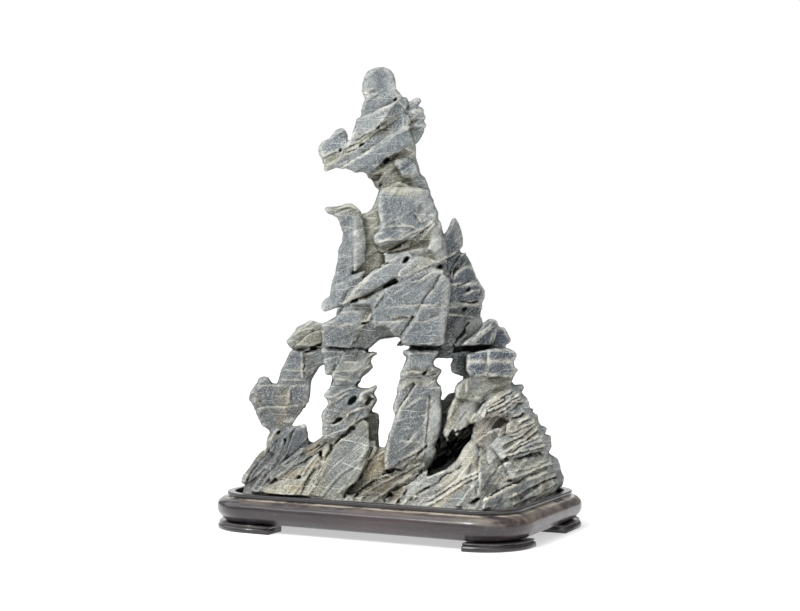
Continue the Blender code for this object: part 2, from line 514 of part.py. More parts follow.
# ---------------------------------------------------------------- stand
def rounded_outline(half_length, half_width, corner, segments=8):
    """Plan outline of a rounded rectangle, counter-clockwise from the middle of its front right corner."""
    points = []
    for index, (side_x, side_y) in enumerate(((1, -1), (1, 1), (-1, 1), (-1, -1))):
        for step in range(segments + 1):
            angle = math.radians(-90.0 + 90.0 * index + 90.0 * step / segments)
            x = side_x * (half_length - corner) + corner * math.cos(angle)
            y = side_y * (half_width - corner) + corner * math.sin(angle)
            points.append((x, y))
    return points


def loft(bm, rings):
    """A closed solid through plan outlines at rising heights; all outlines have as many points."""
    outline, height = rings[0]
    corners = [bm.verts.new(Vector((x, y, height)) * MM) for x, y in outline]
    base = bm.faces.new(corners)
    top = base
    for outline, height in rings[1:]:
        places = {tuple(corner.co): index for index, corner in enumerate(corners)}
        raised = bmesh.ops.extrude_face_region(bm, geom=[top])["geom"]
        if top is not base:
            bmesh.ops.delete(bm, geom=[top], context="FACES_ONLY")
        top = [item for item in raised if isinstance(item, bmesh.types.BMFace)][0]
        corners = sorted(top.verts, key=lambda corner: places[tuple(corner.co)])
        for corner, (x, y) in zip(corners, outline):
            corner.co = Vector((x, y, height)) * MM
    bmesh.ops.recalc_face_normals(bm, faces=bm.faces)


def stand_outline(reach):
    """Plan outline of the stand, that far outside its rim."""
    return rounded_outline(RIM_HALF_LENGTH + reach, RIM_HALF_WIDTH + reach, RIM_CORNER + reach)


def make_stand(collection, material):
    """One carved block: rounded underside, bulging belly, a groove, then a thin lip around the recess."""
    profile = (
        (-3.0, BODY_BOTTOM),
        (2.5, BODY_BOTTOM + 1.0),
        (6.5, BODY_BOTTOM + 4.5),
        (BELLY_BULGE - 0.7, BODY_BOTTOM + 8.5),
        (BELLY_BULGE, BODY_BOTTOM + 13.0),
        (BELLY_BULGE - 0.8, BODY_BOTTOM + 17.5),
        (BELLY_BULGE - 3.5, BODY_BOTTOM + 21.0),
        (2.0, RIM_ROOT - 0.2),
        (-1.2, RIM_ROOT),
        (-1.4, RIM_ROOT + 1.0),
        (0.0, RIM_ROOT + 1.8),
        (0.0, RIM_TOP - 0.8),
        (-0.8, RIM_TOP),
        (0.8 - RIM_WALL, RIM_TOP),
        (-RIM_WALL, RIM_TOP - 0.8),
        (-RIM_WALL, RECESS_FLOOR),
    )
    bm = bmesh.new()
    loft(bm, [(stand_outline(reach), height) for reach, height in profile])
    bmesh.ops.triangulate(bm, faces=bm.faces)
    return object_from(bm, "stand", collection, material)


def foot_outline(reach, front_leg, side_leg, segments=6):
    """Plan outline of a foot that wraps the front right corner: its outer edge out, its inner edge back."""
    points = []
    for edge, order in ((reach, 1), (FOOT_REACH - FOOT_BREADTH, -1)):
        corner = RIM_CORNER + edge
        middle_x = RIM_HALF_LENGTH - RIM_CORNER
        middle_y = -RIM_HALF_WIDTH + RIM_CORNER
        run = [(RIM_HALF_LENGTH - front_leg, -RIM_HALF_WIDTH - edge)]
        for step in range(segments + 1):
            angle = math.radians(-90.0 + 90.0 * step / segments)
            run.append((middle_x + corner * math.cos(angle), middle_y + corner * math.sin(angle)))
        run.append((RIM_HALF_LENGTH + edge, -RIM_HALF_WIDTH + side_leg))
        points.extend(run[::order])
    return points


def make_foot(name, collection, material, side_x, side_y, front_leg, side_leg):
    """A carved corner foot: rolled lower edge, a groove, and a thin lip under the belly."""
    top = BODY_BOTTOM - TOUCH_GAP
    profile = (
        (FOOT_REACH - 1.5, 0.0),
        (FOOT_REACH, 1.4),
        (FOOT_REACH - 0.2, 3.4),
        (FOOT_REACH - 1.6, top - 2.4),
        (FOOT_REACH - 2.8, top - 1.9),
        (FOOT_REACH - 2.0, top - 1.4),
        (FOOT_REACH - 2.2, top),
    )
    bm = bmesh.new()
    rings = [(foot_outline(reach, front_leg, side_leg), height) for reach, height in profile]
    loft(bm, rings)
    bmesh.ops.scale(bm, vec=(side_x, -side_y, 1.0), verts=bm.verts)
    bmesh.ops.triangulate(bm, faces=bm.faces)
    bmesh.ops.recalc_face_normals(bm, faces=bm.faces)
    return object_from(bm, name, collection, material)


def main():
    clear_scene()
    collection = new_collection("scholars_rock")
    make_rock(collection)
    wood = make_material("wood_dark_hardwood", WOOD_COLOUR, 0.4)
    make_stand(collection, wood)
    make_foot("foot_front_right", collection, wood, 1, -1, 40.0, 46.0)
    make_foot("foot_front_left", collection, wood, -1, -1, 70.0, 46.0)
    make_foot("foot_back_right", collection, wood, 1, 1, 40.0, 74.0)
    make_foot("foot_back_left", collection, wood, -1, 1, 70.0, 46.0)


main()
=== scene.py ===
"""A grey bedded limestone scholar's rock, seated in its carved dark hardwood stand. Metres, +Z up."""
import math
import random

import bmesh
import bpy
import numpy as np
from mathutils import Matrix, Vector


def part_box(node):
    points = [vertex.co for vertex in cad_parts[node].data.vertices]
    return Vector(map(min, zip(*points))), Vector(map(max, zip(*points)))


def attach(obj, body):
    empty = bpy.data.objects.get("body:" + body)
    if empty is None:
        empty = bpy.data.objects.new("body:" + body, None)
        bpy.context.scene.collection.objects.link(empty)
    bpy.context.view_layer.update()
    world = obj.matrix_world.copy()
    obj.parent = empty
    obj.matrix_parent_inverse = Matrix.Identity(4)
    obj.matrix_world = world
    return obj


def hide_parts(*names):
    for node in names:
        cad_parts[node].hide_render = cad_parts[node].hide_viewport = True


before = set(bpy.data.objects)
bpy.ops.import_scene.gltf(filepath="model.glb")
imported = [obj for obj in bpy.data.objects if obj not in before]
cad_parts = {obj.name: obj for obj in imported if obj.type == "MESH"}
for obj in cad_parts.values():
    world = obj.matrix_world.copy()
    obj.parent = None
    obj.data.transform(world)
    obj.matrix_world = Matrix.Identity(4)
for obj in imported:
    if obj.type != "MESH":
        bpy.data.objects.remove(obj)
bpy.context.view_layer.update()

# ---- The rock -------------------------------------------------------------------------------------------
# One natural piece of thin-bedded limestone, weathered into a peak on three pillars. It is made as a mass of
# chunks whose outlines are drawn, in millimetres, on an upright sheet that stands askew across the stand;
# the chunks are fused into one skin, and the beds, cracks and pits are then cut into that skin.
MM = 0.001
SHEET_TURN = math.radians(26.5)
EYE_DISTANCE = 1400.0
EYE_HEIGHT = 220.0
SHEET_AXIS_X = 400.0
SHEET_EYE_Y = 305.5
ACROSS = np.array([math.cos(SHEET_TURN), math.sin(SHEET_TURN), 0.0])
TOWARDS_EYE = np.array([math.sin(SHEET_TURN), -math.cos(SHEET_TURN), 0.0])
UP = np.array([0.0, 0.0, 1.0])
CHUNK_CHAMFER = 2.4
FAR_TILT = 0.14
REAR_REACH = 90.0
ROCK_VOXEL = 1.15
ROCK_TRIANGLES = 192000
RIM_TOP = 36.0
RECESS_FLOOR = 26.0

# Upright rounded boxes, by half length, half width and corner: what fills the recess and how it narrows over
# the rim, and the outlines that hold the rock in, within the recess and above it.
RECESS_FILLING = (141.0, 91.4, 30.0)
FILLING_TOP = (136.0, 86.4, 25.0)
HELD_IN_RECESS = (147.0, 91.0, 30.0)
HELD_ABOVE = (160.0, 104.0, 40.0)

# Each chunk: name, near face, far face, lean, turn and outline. near and far are distances in front of the
# sheet; lean is how much nearer the near face comes for each millimetre down, turn for each to the right.
CREST = [
    ("crown", 14, -14, 0.1, 0.0, [(364, 76), (367, 71), (373, 69), (383, 67), (390, 70), (394, 75),
     (395, 83), (396, 89), (400, 95), (401, 99), (390, 104), (374, 104), (366, 99), (363, 95), (362, 87)]),
    ("crown_shoulder", 17, -15, 0.1, 0.0, [(366, 98), (380, 91), (401, 98), (400, 103), (385, 109),
     (362, 120), (361, 110)]),
    ("crest_blade", 23, -13, 0.1, 0.2, [(357, 118), (362, 118), (385, 108), (397, 102), (392, 112),
     (381, 126), (362, 135), (352, 141), (354, 130)]),
    ("crest_blade_right", 19, -18, 0.0, -0.3, [(396, 102), (402, 98), (406, 98), (408, 102), (405, 113),
     (392, 120), (382, 125), (391, 111)]),
    ("beak_slab_upper", 20, -12, 0.2, 0.1, [(346, 144), (360, 136), (380, 126), (404, 112), (409, 118),
     (409, 128), (392, 136), (370, 148), (352, 157), (336, 166), (326, 171), (324, 170), (326, 165),
     (323, 163), (323, 158)]),
    ("beak_slab_lower", 25, -18, -0.1, 0.1, [(350, 159), (370, 149), (392, 136), (409, 127), (413, 141),
     (400, 151), (384, 159), (379, 166), (369, 175), (361, 171), (356, 173), (352, 170), (345, 167),
     (335, 168)]),
    ("beak_knob", 15, -9, 0.3, 0.0, [(319, 148), (322, 143), (330, 139), (334, 133), (336, 130), (342, 128),
     (346, 130), (348, 135), (346, 141), (350, 142), (341, 150), (330, 156), (323, 159), (320, 155)]),
    ("fan_plate_1", 5, -10, 0.0, -0.3, [(403, 108), (414, 99), (419, 98), (421, 101), (416, 106), (417, 108),
     (405, 113)]),
    ("fan_plate_2", 8, -12, 0.0, -0.3, [(403, 112), (418, 107), (424, 110), (422, 114), (405, 119)]),
    ("fan_plate_3", 6, -14, 0.0, -0.3, [(405, 117), (422, 114), (426, 117), (422, 122), (410, 126)]),
    ("fan_plate_4", 9, -12, 0.0, -0.3, [(407, 123), (424, 122), (427, 125), (425, 128), (409, 129)]),
    ("fan_root", 1, -18, 0.0, -0.6, [(409, 126), (425, 127), (424, 133), (417, 142), (412, 144)]),
]
NECK = [
    ("neck", 14, -20, -0.2, -0.1, [(367, 175), (380, 166), (398, 153), (413, 141), (416, 148), (415, 158),
     (418, 166), (420, 176), (416, 190), (381, 190), (377, 187), (373, 181)]),
    ("neck_boulder", 22, -10, 0.0, -0.2, [(394, 160), (403, 156), (412, 160), (417, 165), (419, 174),
     (412, 179), (402, 177), (398, 171)]),
    ("neck_lobe", 8, -24, 0.0, -0.5, [(411, 180), (420, 175), (425, 179), (428, 185), (431, 192), (424, 198),
     (413, 190)]),
    ("chest", 29, -26, 0.15, -0.35, [(380, 190), (394, 188), (414, 188), (429, 190), (433, 200), (435, 208),
     (438, 212), (437, 221), (426, 228), (420, 231), (400, 231), (382, 231), (379, 215), (378, 200)]),
    ("chin_slab", 34, -10, -0.2, -0.2, [(374, 237), (382, 229), (400, 228), (423, 229), (419, 236),
     (402, 241), (380, 245), (375, 242)]),
    ("under_chin", 22, -26, -0.5, -0.1, [(378, 243), (400, 239), (420, 233), (436, 220), (438, 228),
     (430, 242), (412, 250), (400, 254), (383, 254), (379, 250)]),
    ("left_saddle", 6, -24, 0.1, 0.2, [(362, 214), (368, 213), (373, 209), (376, 201), (379, 192),
     (386, 200), (386, 234), (378, 240), (360, 240)]),
    ("horn", 13, -11, 0.2, 0.0, [(324, 209), (327, 206), (335, 207), (341, 206), (347, 203), (351, 203),
     (356, 207), (363, 215), (357, 218), (345, 216), (338, 217), (331, 214), (327, 213)]),
    ("column_left", 17, -18, 0.1, 0.2, [(337, 216), (345, 213), (352, 215), (354, 230), (354, 262),
     (350, 277), (336, 287), (331, 291), (332, 284), (336, 272), (338, 260), (339, 250), (342, 243),
     (344, 235), (341, 227)]),
    ("column_right", 20, -22, 0.1, -0.6, [(351, 215), (359, 214), (364, 222), (366, 240), (364, 262),
     (354, 272), (353, 240)]),
    ("column_back", 8, -32, 0.1, 0.0, [(345, 214), (366, 216), (386, 214), (386, 258), (380, 270),
     (340, 292), (336, 284), (343, 240)]),
    ("flank_tip", 24, -22, 0.3, 0.2, [(331, 291), (336, 283), (350, 276), (366, 271), (358, 284), (346, 296),
     (341, 306), (333, 308), (324, 311), (322, 308), (324, 301), (331, 296)]),
]
SHOULDER = [
    ("rolled_slab", 33, -22, 0.2, 0.1, [(341, 306), (349, 292), (362, 281), (380, 268), (395, 256),
     (408, 249), (413, 256), (404, 265), (399, 275), (380, 287), (362, 295), (351, 303)]),
    ("rolled_slab_right", 35, -24, 0.2, -0.1, [(395, 278), (403, 265), (411, 258), (422, 256), (442, 262),
     (430, 269), (415, 274), (400, 281)]),
    ("shoulder_right", 24, -30, 0.3, -0.2, [(384, 253), (400, 251), (428, 241), (437, 228), (446, 240),
     (448, 262), (432, 268), (404, 264), (386, 266)]),
    ("fin_front", 22, -4, 0.3, -0.3, [(426, 250), (432, 234), (438, 222), (440, 221), (442, 230), (442, 248),
     (434, 254)]),
    ("fin_back", 4, -30, 0.2, -1.0, [(440, 242), (449, 229), (452, 219), (455, 218), (459, 226), (462, 236),
     (463, 245), (459, 251), (450, 258), (440, 258)]),
    ("right_boss_1", 2, -40, 0.2, -1.0, [(443, 258), (456, 251), (463, 253), (468, 257), (471, 266),
     (462, 271), (450, 277), (442, 274)]),
    ("right_boss_2", 0, -44, 0.0, -1.0, [(446, 275), (463, 266), (471, 266), (476, 277), (479, 284),
     (468, 288), (446, 287)]),
    ("right_boss_3", -2, -46, 0.0, -1.0, [(446, 285), (470, 284), (479, 283), (484, 291), (484, 297),
     (481, 303), (466, 305), (446, 304)]),
    ("right_boss_4", 0, -46, 0.0, -0.9, [(444, 302), (466, 303), (481, 303), (481, 309), (479, 317),
     (465, 319), (444, 316)]),
    ("right_boss_5", 6, -40, 0.2, -0.9, [(442, 312), (465, 315), (480, 317), (482, 322), (479, 332),
     (474, 345), (442, 347)]),
    ("brow", 41, -28, 0.1, 0.0, [(350, 304), (362, 299), (380, 290), (400, 281), (415, 272), (432, 267),
     (444, 270), (442, 280), (426, 303), (410, 322), (401, 337), (394, 336), (384, 326), (372, 330),
     (371, 306)]),
    ("brow_root", 27, -22, 0.1, 0.0, [(344, 304), (352, 295), (366, 290), (382, 284), (386, 318), (362, 320),
     (348, 316)]),
    ("arch_left", 35, -26, 0.1, 0.1, [(322, 325), (335, 318), (343, 308), (352, 303), (372, 305), (375, 310),
     (367, 326), (350, 348), (325, 348), (322, 338)]),
    ("arch_middle", 37, -24, -0.3, 0.1, [(347, 348), (365, 326), (374, 307), (386, 309), (402, 322),
     (401, 337), (394, 336), (388, 335), (382, 337), (376, 342), (369, 348)]),
    ("arch_right", 52, -20, 0.1, -0.2, [(401, 338), (411, 318), (424, 302), (441, 276), (446, 275),
     (451, 282), (449, 305), (446, 330), (444, 343), (438, 346), (420, 345), (407, 346), (402, 343)]),
    ("left_wing", 8, -36, 0.4, 0.2, [(287, 342), (297, 331), (297, 328), (305, 325), (311, 321), (315, 323),
     (326, 325), (330, 348), (293, 348), (290, 345)]),
    ("right_wing", 30, -14, 0.2, -0.8, [(462, 345), (472, 337), (480, 330), (484, 323), (490, 319),
     (496, 321), (498, 328), (494, 345)]),
    ("right_wing_tip", 16, -16, 0.1, -0.6, [(490, 344), (494, 331), (498, 328), (504, 328), (507, 335),
     (511, 341), (504, 345), (505, 351), (490, 350)]),
]
JOINT = [
    ("joint_left", 4, -30, 0.0, 0.2, [(294, 345), (330, 345), (330, 353), (294, 353)]),
    ("joint_middle", 30, -20, 0.0, 0.0, [(322, 344), (368, 344), (366, 354), (322, 354)]),
    ("joint_right", 22, -22, 0.0, -0.2, [(409, 341), (445, 341), (453, 341), (453, 357), (434, 357),
     (409, 354)]),
    ("joint_far_right", 8, -40, 0.0, -0.2, [(446, 341), (504, 341), (504, 354), (446, 354)]),
]
PILLARS = [
    ("flag", 2, -34, 0.1, 0.2, [(292, 350), (303, 350), (326, 351), (325, 362), (320, 366), (316, 371),
     (311, 381), (310, 392), (308, 402), (303, 409), (296, 416), (292, 424), (286, 432), (272, 433),
     (269, 429), (263, 426), (260, 421), (256, 413), (254, 405), (250, 400), (250, 398), (252, 391),
     (258, 383), (259, 378), (263, 377), (268, 377), (270, 381), (273, 385), (277, 384), (279, 380),
     (282, 371), (286, 363), (289, 356)]),
    ("second_stub", 27, -20, 0.1, 0.2, [(325, 351), (345, 351), (332, 374), (328, 375), (325, 374)]),
    ("second_cap", 30, -20, 0.1, -0.2, [(342, 350), (368, 350), (379, 353), (372, 358), (371, 362),
     (374, 367), (370, 372), (362, 378), (360, 384), (336, 385), (333, 378), (331, 374)]),
    ("second_shaft", 34, -20, 0.2, -0.2, [(334, 382), (360, 380), (356, 387), (370, 387), (376, 384),
     (378, 387), (373, 394), (378, 399), (376, 403), (370, 412), (366, 417), (347, 432), (325, 443),
     (323, 432), (323, 421), (322, 414), (324, 409), (328, 406), (328, 399), (324, 396), (330, 388)]),
    ("second_foot", 50, -16, 0.5, 0.2, [(316, 500), (320, 470), (324, 446), (344, 432), (354, 425),
     (363, 418), (369, 422), (369, 444), (366, 462), (358, 478), (348, 493), (340, 500)]),
    ("second_heel", 20, -24, 0.3, -0.6, [(362, 416), (371, 412), (378, 413), (379, 420), (378, 432),
     (379, 449), (372, 456), (362, 456)]),
    ("second_root", 44, 0, 0.6, 0.0, [(356, 474), (361, 455), (367, 444), (372, 440), (376, 441), (377, 450),
     (368, 462)]),
    ("third_cap", 46, -10, 0.0, -0.3, [(402, 351), (407, 350), (437, 350), (439, 352), (435, 357),
     (432, 362), (433, 367), (437, 369), (441, 370), (440, 373), (436, 379), (400, 379), (400, 373),
     (404, 364), (407, 358), (404, 354)]),
    ("third_shaft", 54, -6, 0.2, -0.3, [(401, 377), (435, 376), (437, 384), (441, 386), (441, 400),
     (442, 410), (442, 420), (440, 430), (437, 440), (434, 446), (436, 452), (431, 462), (425, 470),
     (418, 464), (400, 470), (384, 470), (384, 462), (386, 445), (389, 434), (393, 424), (395, 416),
     (393, 408), (394, 403), (397, 396), (398, 391), (397, 390), (399, 385)]),
]
FOOT_SLABS = [
    ("knuckle", 8, -36, 0.4, 0.1, [(267, 440), (271, 433), (278, 430), (288, 426), (291, 432), (286, 446),
     (276, 456), (268, 449)]),
    ("left_fin", 14, -24, 0.3, 0.2, [(282, 438), (288, 427), (298, 426), (304, 423), (306, 424), (307, 432),
     (309, 442), (304, 449), (290, 458), (278, 458)]),
    ("left_flank", 10, -30, 0.4, 0.2, [(242, 482), (244, 476), (250, 469), (257, 459), (262, 453),
     (268, 448), (272, 456), (270, 468), (262, 475), (252, 481), (246, 484)]),
    ("left_slab_1", 28, -24, 0.6, 0.2, [(250, 491), (258, 478), (270, 462), (284, 443), (292, 443),
     (289, 454), (277, 469), (267, 489), (258, 495)]),
    ("left_slab_2", 36, -16, 0.6, 0.2, [(261, 493), (272, 474), (288, 460), (304, 448), (316, 442),
     (323, 437), (328, 444), (313, 458), (293, 473), (277, 485)]),
    ("left_slab_3", 48, -10, 0.6, 0.3, [(264, 493), (283, 479), (300, 466), (314, 456), (320, 455),
     (311, 474), (298, 499), (281, 498), (270, 496)]),
    ("left_slab_4", 54, 0, 0.6, 0.3, [(300, 499), (308, 480), (321, 457), (327, 462), (321, 480),
     (320, 500)]),
    ("middle_saddle", 46, -20, 0.7, 0.3, [(350, 496), (359, 470), (368, 457), (378, 448), (388, 447),
     (392, 472), (374, 484), (360, 496)]),
    ("front_slab_1", 74, 0, 0.7, 0.4, [(346, 501), (362, 487), (386, 474), (402, 468), (424, 463),
     (424, 472), (396, 486), (374, 503)]),
    ("front_slab_2", 88, 10, 0.7, 0.4, [(370, 504), (390, 488), (410, 476), (428, 470), (426, 482),
     (404, 496), (386, 506)]),
    ("front_slab_3", 98, 20, 0.7, 0.4, [(388, 506), (402, 494), (424, 480), (444, 471), (456, 462),
     (452, 478), (428, 496), (410, 508)]),
    ("front_slab_4", 108, 30, 0.7, 0.4, [(404, 508), (426, 492), (450, 478), (464, 462), (472, 462),
     (462, 482), (436, 506), (428, 509)]),
    ("front_slab_5", 118, 40, 0.7, 0.3, [(430, 510), (450, 492), (468, 476), (480, 468), (484, 484),
     (466, 504), (460, 511)]),
]
RIGHT_PEAK = [
    ("peak_stub", 22, -20, 0.0, 0.2, [(452, 354), (470, 351), (470, 377), (463, 376), (452, 372), (451, 365),
     (454, 360)]),
    ("peak_block_1", 44, -20, 0.1, -0.2, [(467, 354), (488, 349), (488, 361), (466, 362)]),
    ("peak_block_2", 48, -20, 0.1, -0.2, [(467, 361), (487, 361), (487, 376), (470, 377), (466, 370)]),
    ("peak_block_3", 38, -24, 0.1, -0.9, [(487, 349), (505, 348), (513, 351), (516, 354), (515, 359),
     (512, 362), (487, 362)]),
    ("peak_block_4", 40, -26, 0.1, -0.9, [(487, 361), (513, 361), (513, 367), (517, 370), (516, 372),
     (512, 377), (486, 377)]),
    ("peak_waist", 46, -26, 0.3, -0.5, [(464, 379), (486, 375), (512, 376), (511, 381), (514, 386),
     (500, 398), (480, 402), (456, 398), (455, 388), (459, 383)]),
    ("peak_white_slab", 52, -16, 0.3, -0.2, [(444, 432), (449, 412), (456, 394), (468, 396), (482, 396),
     (474, 414), (464, 430), (455, 440), (447, 441)]),
    ("peak_shadow_slab", 10, -34, 0.2, 0.0, [(441, 402), (449, 393), (458, 394), (456, 440), (440, 450),
     (441, 420)]),
    ("cavity_wall", -8, -44, 0.2, 0.0, [(420, 440), (446, 420), (476, 420), (480, 480), (430, 492),
     (418, 480)]),
    ("step_1", 52, -30, 0.3, -1.0, [(470, 420), (484, 406), (500, 394), (514, 386), (522, 385), (523, 388),
     (520, 393), (500, 404), (484, 420), (476, 428)]),
    ("step_2", 54, -36, 0.3, -1.1, [(482, 420), (490, 409), (506, 400), (520, 393), (527, 399), (528, 404),
     (510, 411), (496, 416)]),
    ("step_3", 52, -40, 0.3, -1.2, [(496, 414), (512, 409), (528, 402), (530, 412), (519, 419), (506, 421)]),
    ("step_4", 50, -44, 0.3, -1.3, [(508, 424), (519, 418), (530, 412), (537, 415), (538, 421), (541, 427),
     (522, 434), (508, 436)]),
    ("step_5", 60, -44, 0.4, -1.3, [(490, 446), (500, 436), (520, 430), (541, 426), (546, 428), (543, 436),
     (526, 444), (500, 456)]),
    ("step_6", 62, -48, 0.3, -1.4, [(498, 456), (514, 447), (530, 439), (543, 435), (550, 436), (551, 447),
     (547, 453), (520, 458), (508, 460)]),
    ("step_7", 58, -50, 0.4, -1.5, [(504, 464), (520, 458), (546, 452), (557, 459), (560, 469), (540, 475),
     (512, 480)]),
    ("step_8", 74, -50, 0.5, -1.7, [(486, 496), (504, 484), (530, 474), (560, 468), (564, 480), (562, 486),
     (548, 496), (520, 510), (482, 511)]),
    ("pocket_floor", 40, -40, 0.2, -0.8, [(484, 414), (520, 408), (522, 434), (488, 436)]),
    ("peak_knob", 76, 0, 0.4, -0.2, [(471, 437), (476, 427), (481, 421), (488, 421), (492, 426), (493, 432),
     (486, 440), (478, 446)]),
    ("peak_chest", 82, -10, 0.6, -0.3, [(462, 470), (466, 450), (474, 436), (492, 430), (510, 436),
     (512, 462), (506, 478), (488, 492), (468, 492)]),
    ("peak_flow", 92, 0, 0.7, 0.2, [(424, 500), (444, 478), (456, 462), (464, 446), (474, 438), (480, 452),
     (474, 476), (456, 496), (436, 510)]),
    ("peak_toe", 112, 10, 0.7, -0.5, [(452, 511), (466, 494), (482, 478), (504, 472), (516, 484), (514, 508),
     (500, 511)]),
]
REAR = [
    ("rear_crest", -8, -24, 0.0, 0.2, [(366, 82), (386, 76), (396, 98), (404, 118), (398, 138), (372, 146),
     (358, 128), (364, 104)]),
    ("rear_beak", -6, -26, 0.1, -0.2, [(348, 152), (404, 118), (410, 140), (384, 164), (362, 168)]),
    ("rear_neck", -16, -36, 0.1, 0.1, [(384, 172), (412, 150), (416, 182), (430, 204), (430, 226),
     (384, 234), (382, 196)]),
    ("rear_saddle", -20, -48, 0.2, 0.2, [(348, 240), (384, 218), (430, 214), (440, 246), (398, 282),
     (342, 288)]),
    ("rear_bed_1", -22, -54, 0.1, 0.2, [(342, 296), (398, 262), (462, 256), (468, 274), (400, 310),
     (336, 316)]),
    ("rear_bed_2", -20, -60, 0.1, 0.1, [(330, 330), (398, 296), (474, 276), (478, 296), (410, 334),
     (330, 346)]),
    ("rear_bed_3", -22, -54, 0.1, -0.1, [(396, 346), (420, 320), (476, 300), (474, 342)]),
    ("rear_left_shelf", -14, -46, 0.2, 0.1, [(298, 346), (314, 328), (352, 326), (372, 346)]),
    ("rear_second", -12, -38, 0.1, -0.1, [(338, 352), (360, 352), (352, 386), (344, 428), (330, 434),
     (330, 390)]),
    ("rear_third", -2, -34, 0.1, 0.1, [(410, 350), (430, 352), (428, 380), (434, 410), (426, 462),
     (392, 462), (400, 410)]),
    ("rear_peak_1", -18, -56, 0.1, 0.2, [(466, 354), (506, 354), (508, 382), (476, 400), (462, 386)]),
    ("rear_peak_2", -24, -66, 0.2, 0.2, [(452, 404), (510, 384), (528, 420), (470, 448), (446, 440)]),
    ("rear_peak_3", -30, -70, 0.2, 0.2, [(430, 452), (530, 424), (546, 448), (520, 478), (424, 500)]),
    ("rear_ridge_1", -12, -66, 0.3, 0.1, [(272, 452), (300, 436), (330, 452), (310, 492), (256, 494)]),
    ("rear_ridge_2", -10, -80, 0.4, 0.0, [(312, 470), (350, 446), (392, 462), (384, 498), (304, 498)]),
    ("rear_ridge_3", -20, -92, 0.4, 0.0, [(376, 484), (430, 452), (480, 456), (476, 498), (370, 500)]),
]

# Thinner fillings close the gaps between the slabs of the right flank and under the left toe.
FILLINGS = [
    ("toe_filling", 14, -24, 0.5, 0.2, [(244, 489), (246, 484), (252, 479), (262, 474), (268, 477),
     (262, 487), (254, 492), (247, 491)]),
    ("flank_upper", 60, -30, 0.6, -0.7, [(472, 428), (484, 414), (500, 404), (520, 404), (531, 416),
     (530, 440), (512, 454), (498, 464), (486, 450), (476, 440)]),
    ("flank_middle", 65, -34, 0.5, -0.75, [(486, 454), (500, 440), (520, 444), (540, 450), (550, 464),
     (538, 478), (512, 486), (494, 480)]),
    ("flank_lower", 88, -30, 0.6, -1.0, [(474, 468), (500, 466), (526, 472), (542, 476), (540, 494),
     (520, 506), (500, 509), (476, 507), (470, 488)]),
]

# Thin plates of the beds stand out of the rear in clusters: name, sheet x and y of its middle, how far it
# spreads, the plates' dip in degrees, how many there are, and how far behind the sheet they reach.
REAR_PLATES = [
    ("crest_plates", 386, 122, 9, 20, 32.0, 7, 24),
    ("neck_plates", 402, 205, 14, 26, 28.0, 9, 36),
    ("column_plates", 350, 248, 5, 24, 20.0, 5, 30),
    ("shoulder_plates", 402, 282, 36, 34, 30.0, 16, 52),
    ("peak_plates", 494, 424, 26, 34, 26.0, 12, 56),
    ("peak_foot_plates", 452, 466, 50, 14, 34.0, 10, 74),
    ("left_foot_plates", 316, 476, 34, 6, 40.0, 9, 64),
]


def off_sheet(x, y, near):
    """The point, in metres, that the eye sees at sheet point (x, y) and that lies near mm in front of it."""
    scale = (EYE_DISTANCE - near) / EYE_DISTANCE
    across = (x - SHEET_AXIS_X) * scale
    height = EYE_HEIGHT + (SHEET_EYE_Y - y) * scale
    return Vector((ACROSS * across + TOWARDS_EYE * near + UP * height) * MM)


def on_sheet(points):
    """Sheet x, sheet y and nearness of points given in millimetres."""
    across = points @ ACROSS
    near = points @ TOWARDS_EYE
    scale = EYE_DISTANCE / (EYE_DISTANCE - near)
    return SHEET_AXIS_X + across * scale, SHEET_EYE_Y - (points[:, 2] - EYE_HEIGHT) * scale, near


def middle_of(outline):
    """The mean of an outline's corners."""
    return sum(x for x, _ in outline) / len(outline), sum(y for _, y in outline) / len(outline)


def near_depth(chunk, x, y):
    """How far in front of the sheet a chunk's near face lies at a sheet point."""
    _, near, _, lean, turn, outline = chunk
    middle_x, middle_y = middle_of(outline)
    return near + lean * (y - middle_y) + turn * (x - middle_x)


def far_depth(chunk, x, y, unevenness):
    """Far faces lean back up and to the right, each a little differently, and stop over the stand's rear."""
    _, _, far, _, _, outline = chunk
    middle_x, middle_y = middle_of(outline)
    lean = FAR_TILT * (1.0 + 0.8 * unevenness)
    reached = far + lean * (x - middle_x) - lean * (y - middle_y)
    across = (x - SHEET_AXIS_X) * math.sin(SHEET_TURN)
    rear_edge = (across - REAR_REACH + 7.0 * unevenness) / math.cos(SHEET_TURN)
    return max(reached, rear_edge)


def rear_plates():
    """Scattered thin plates, drawn as chunks, each tapering to its two ends along the dip of the beds."""
    chance = random.Random(7)
    plates = []
    for name, x, y, reach_x, reach_y, dip, count, far in REAR_PLATES:
        for _ in range(count):
            around = chance.uniform(0.0, 2.0 * math.pi)
            away = math.sqrt(chance.random())
            middle_x = x + reach_x * away * math.cos(around)
            middle_y = y + reach_y * away * math.sin(around)
            half_length = chance.uniform(0.45, 0.9) * reach_x + 4.0
            half_breadth = chance.uniform(3.0, 7.0)
            slope = math.radians(dip + chance.uniform(-7.0, 7.0))
            outline = []
            for along, over in ((-1, 0.2), (-0.5, -1), (0.4, -0.9), (1, -0.2), (0.5, 1), (-0.4, 0.9)):
                run = along * half_length
                step = over * half_breadth
                outline.append((middle_x + run * math.cos(slope) + step * math.sin(slope),
                                middle_y - run * math.sin(slope) + step * math.cos(slope)))
            plates.append((name, 0, -far - chance.uniform(-3.0, 7.0), 0.0, 0.0, outline))
    return plates


def as_mesh(bm, name):
    """The finished bmesh as a new mesh."""
    mesh = bpy.data.meshes.new(name)
    bm.to_mesh(mesh)
    bm.free()
    return mesh


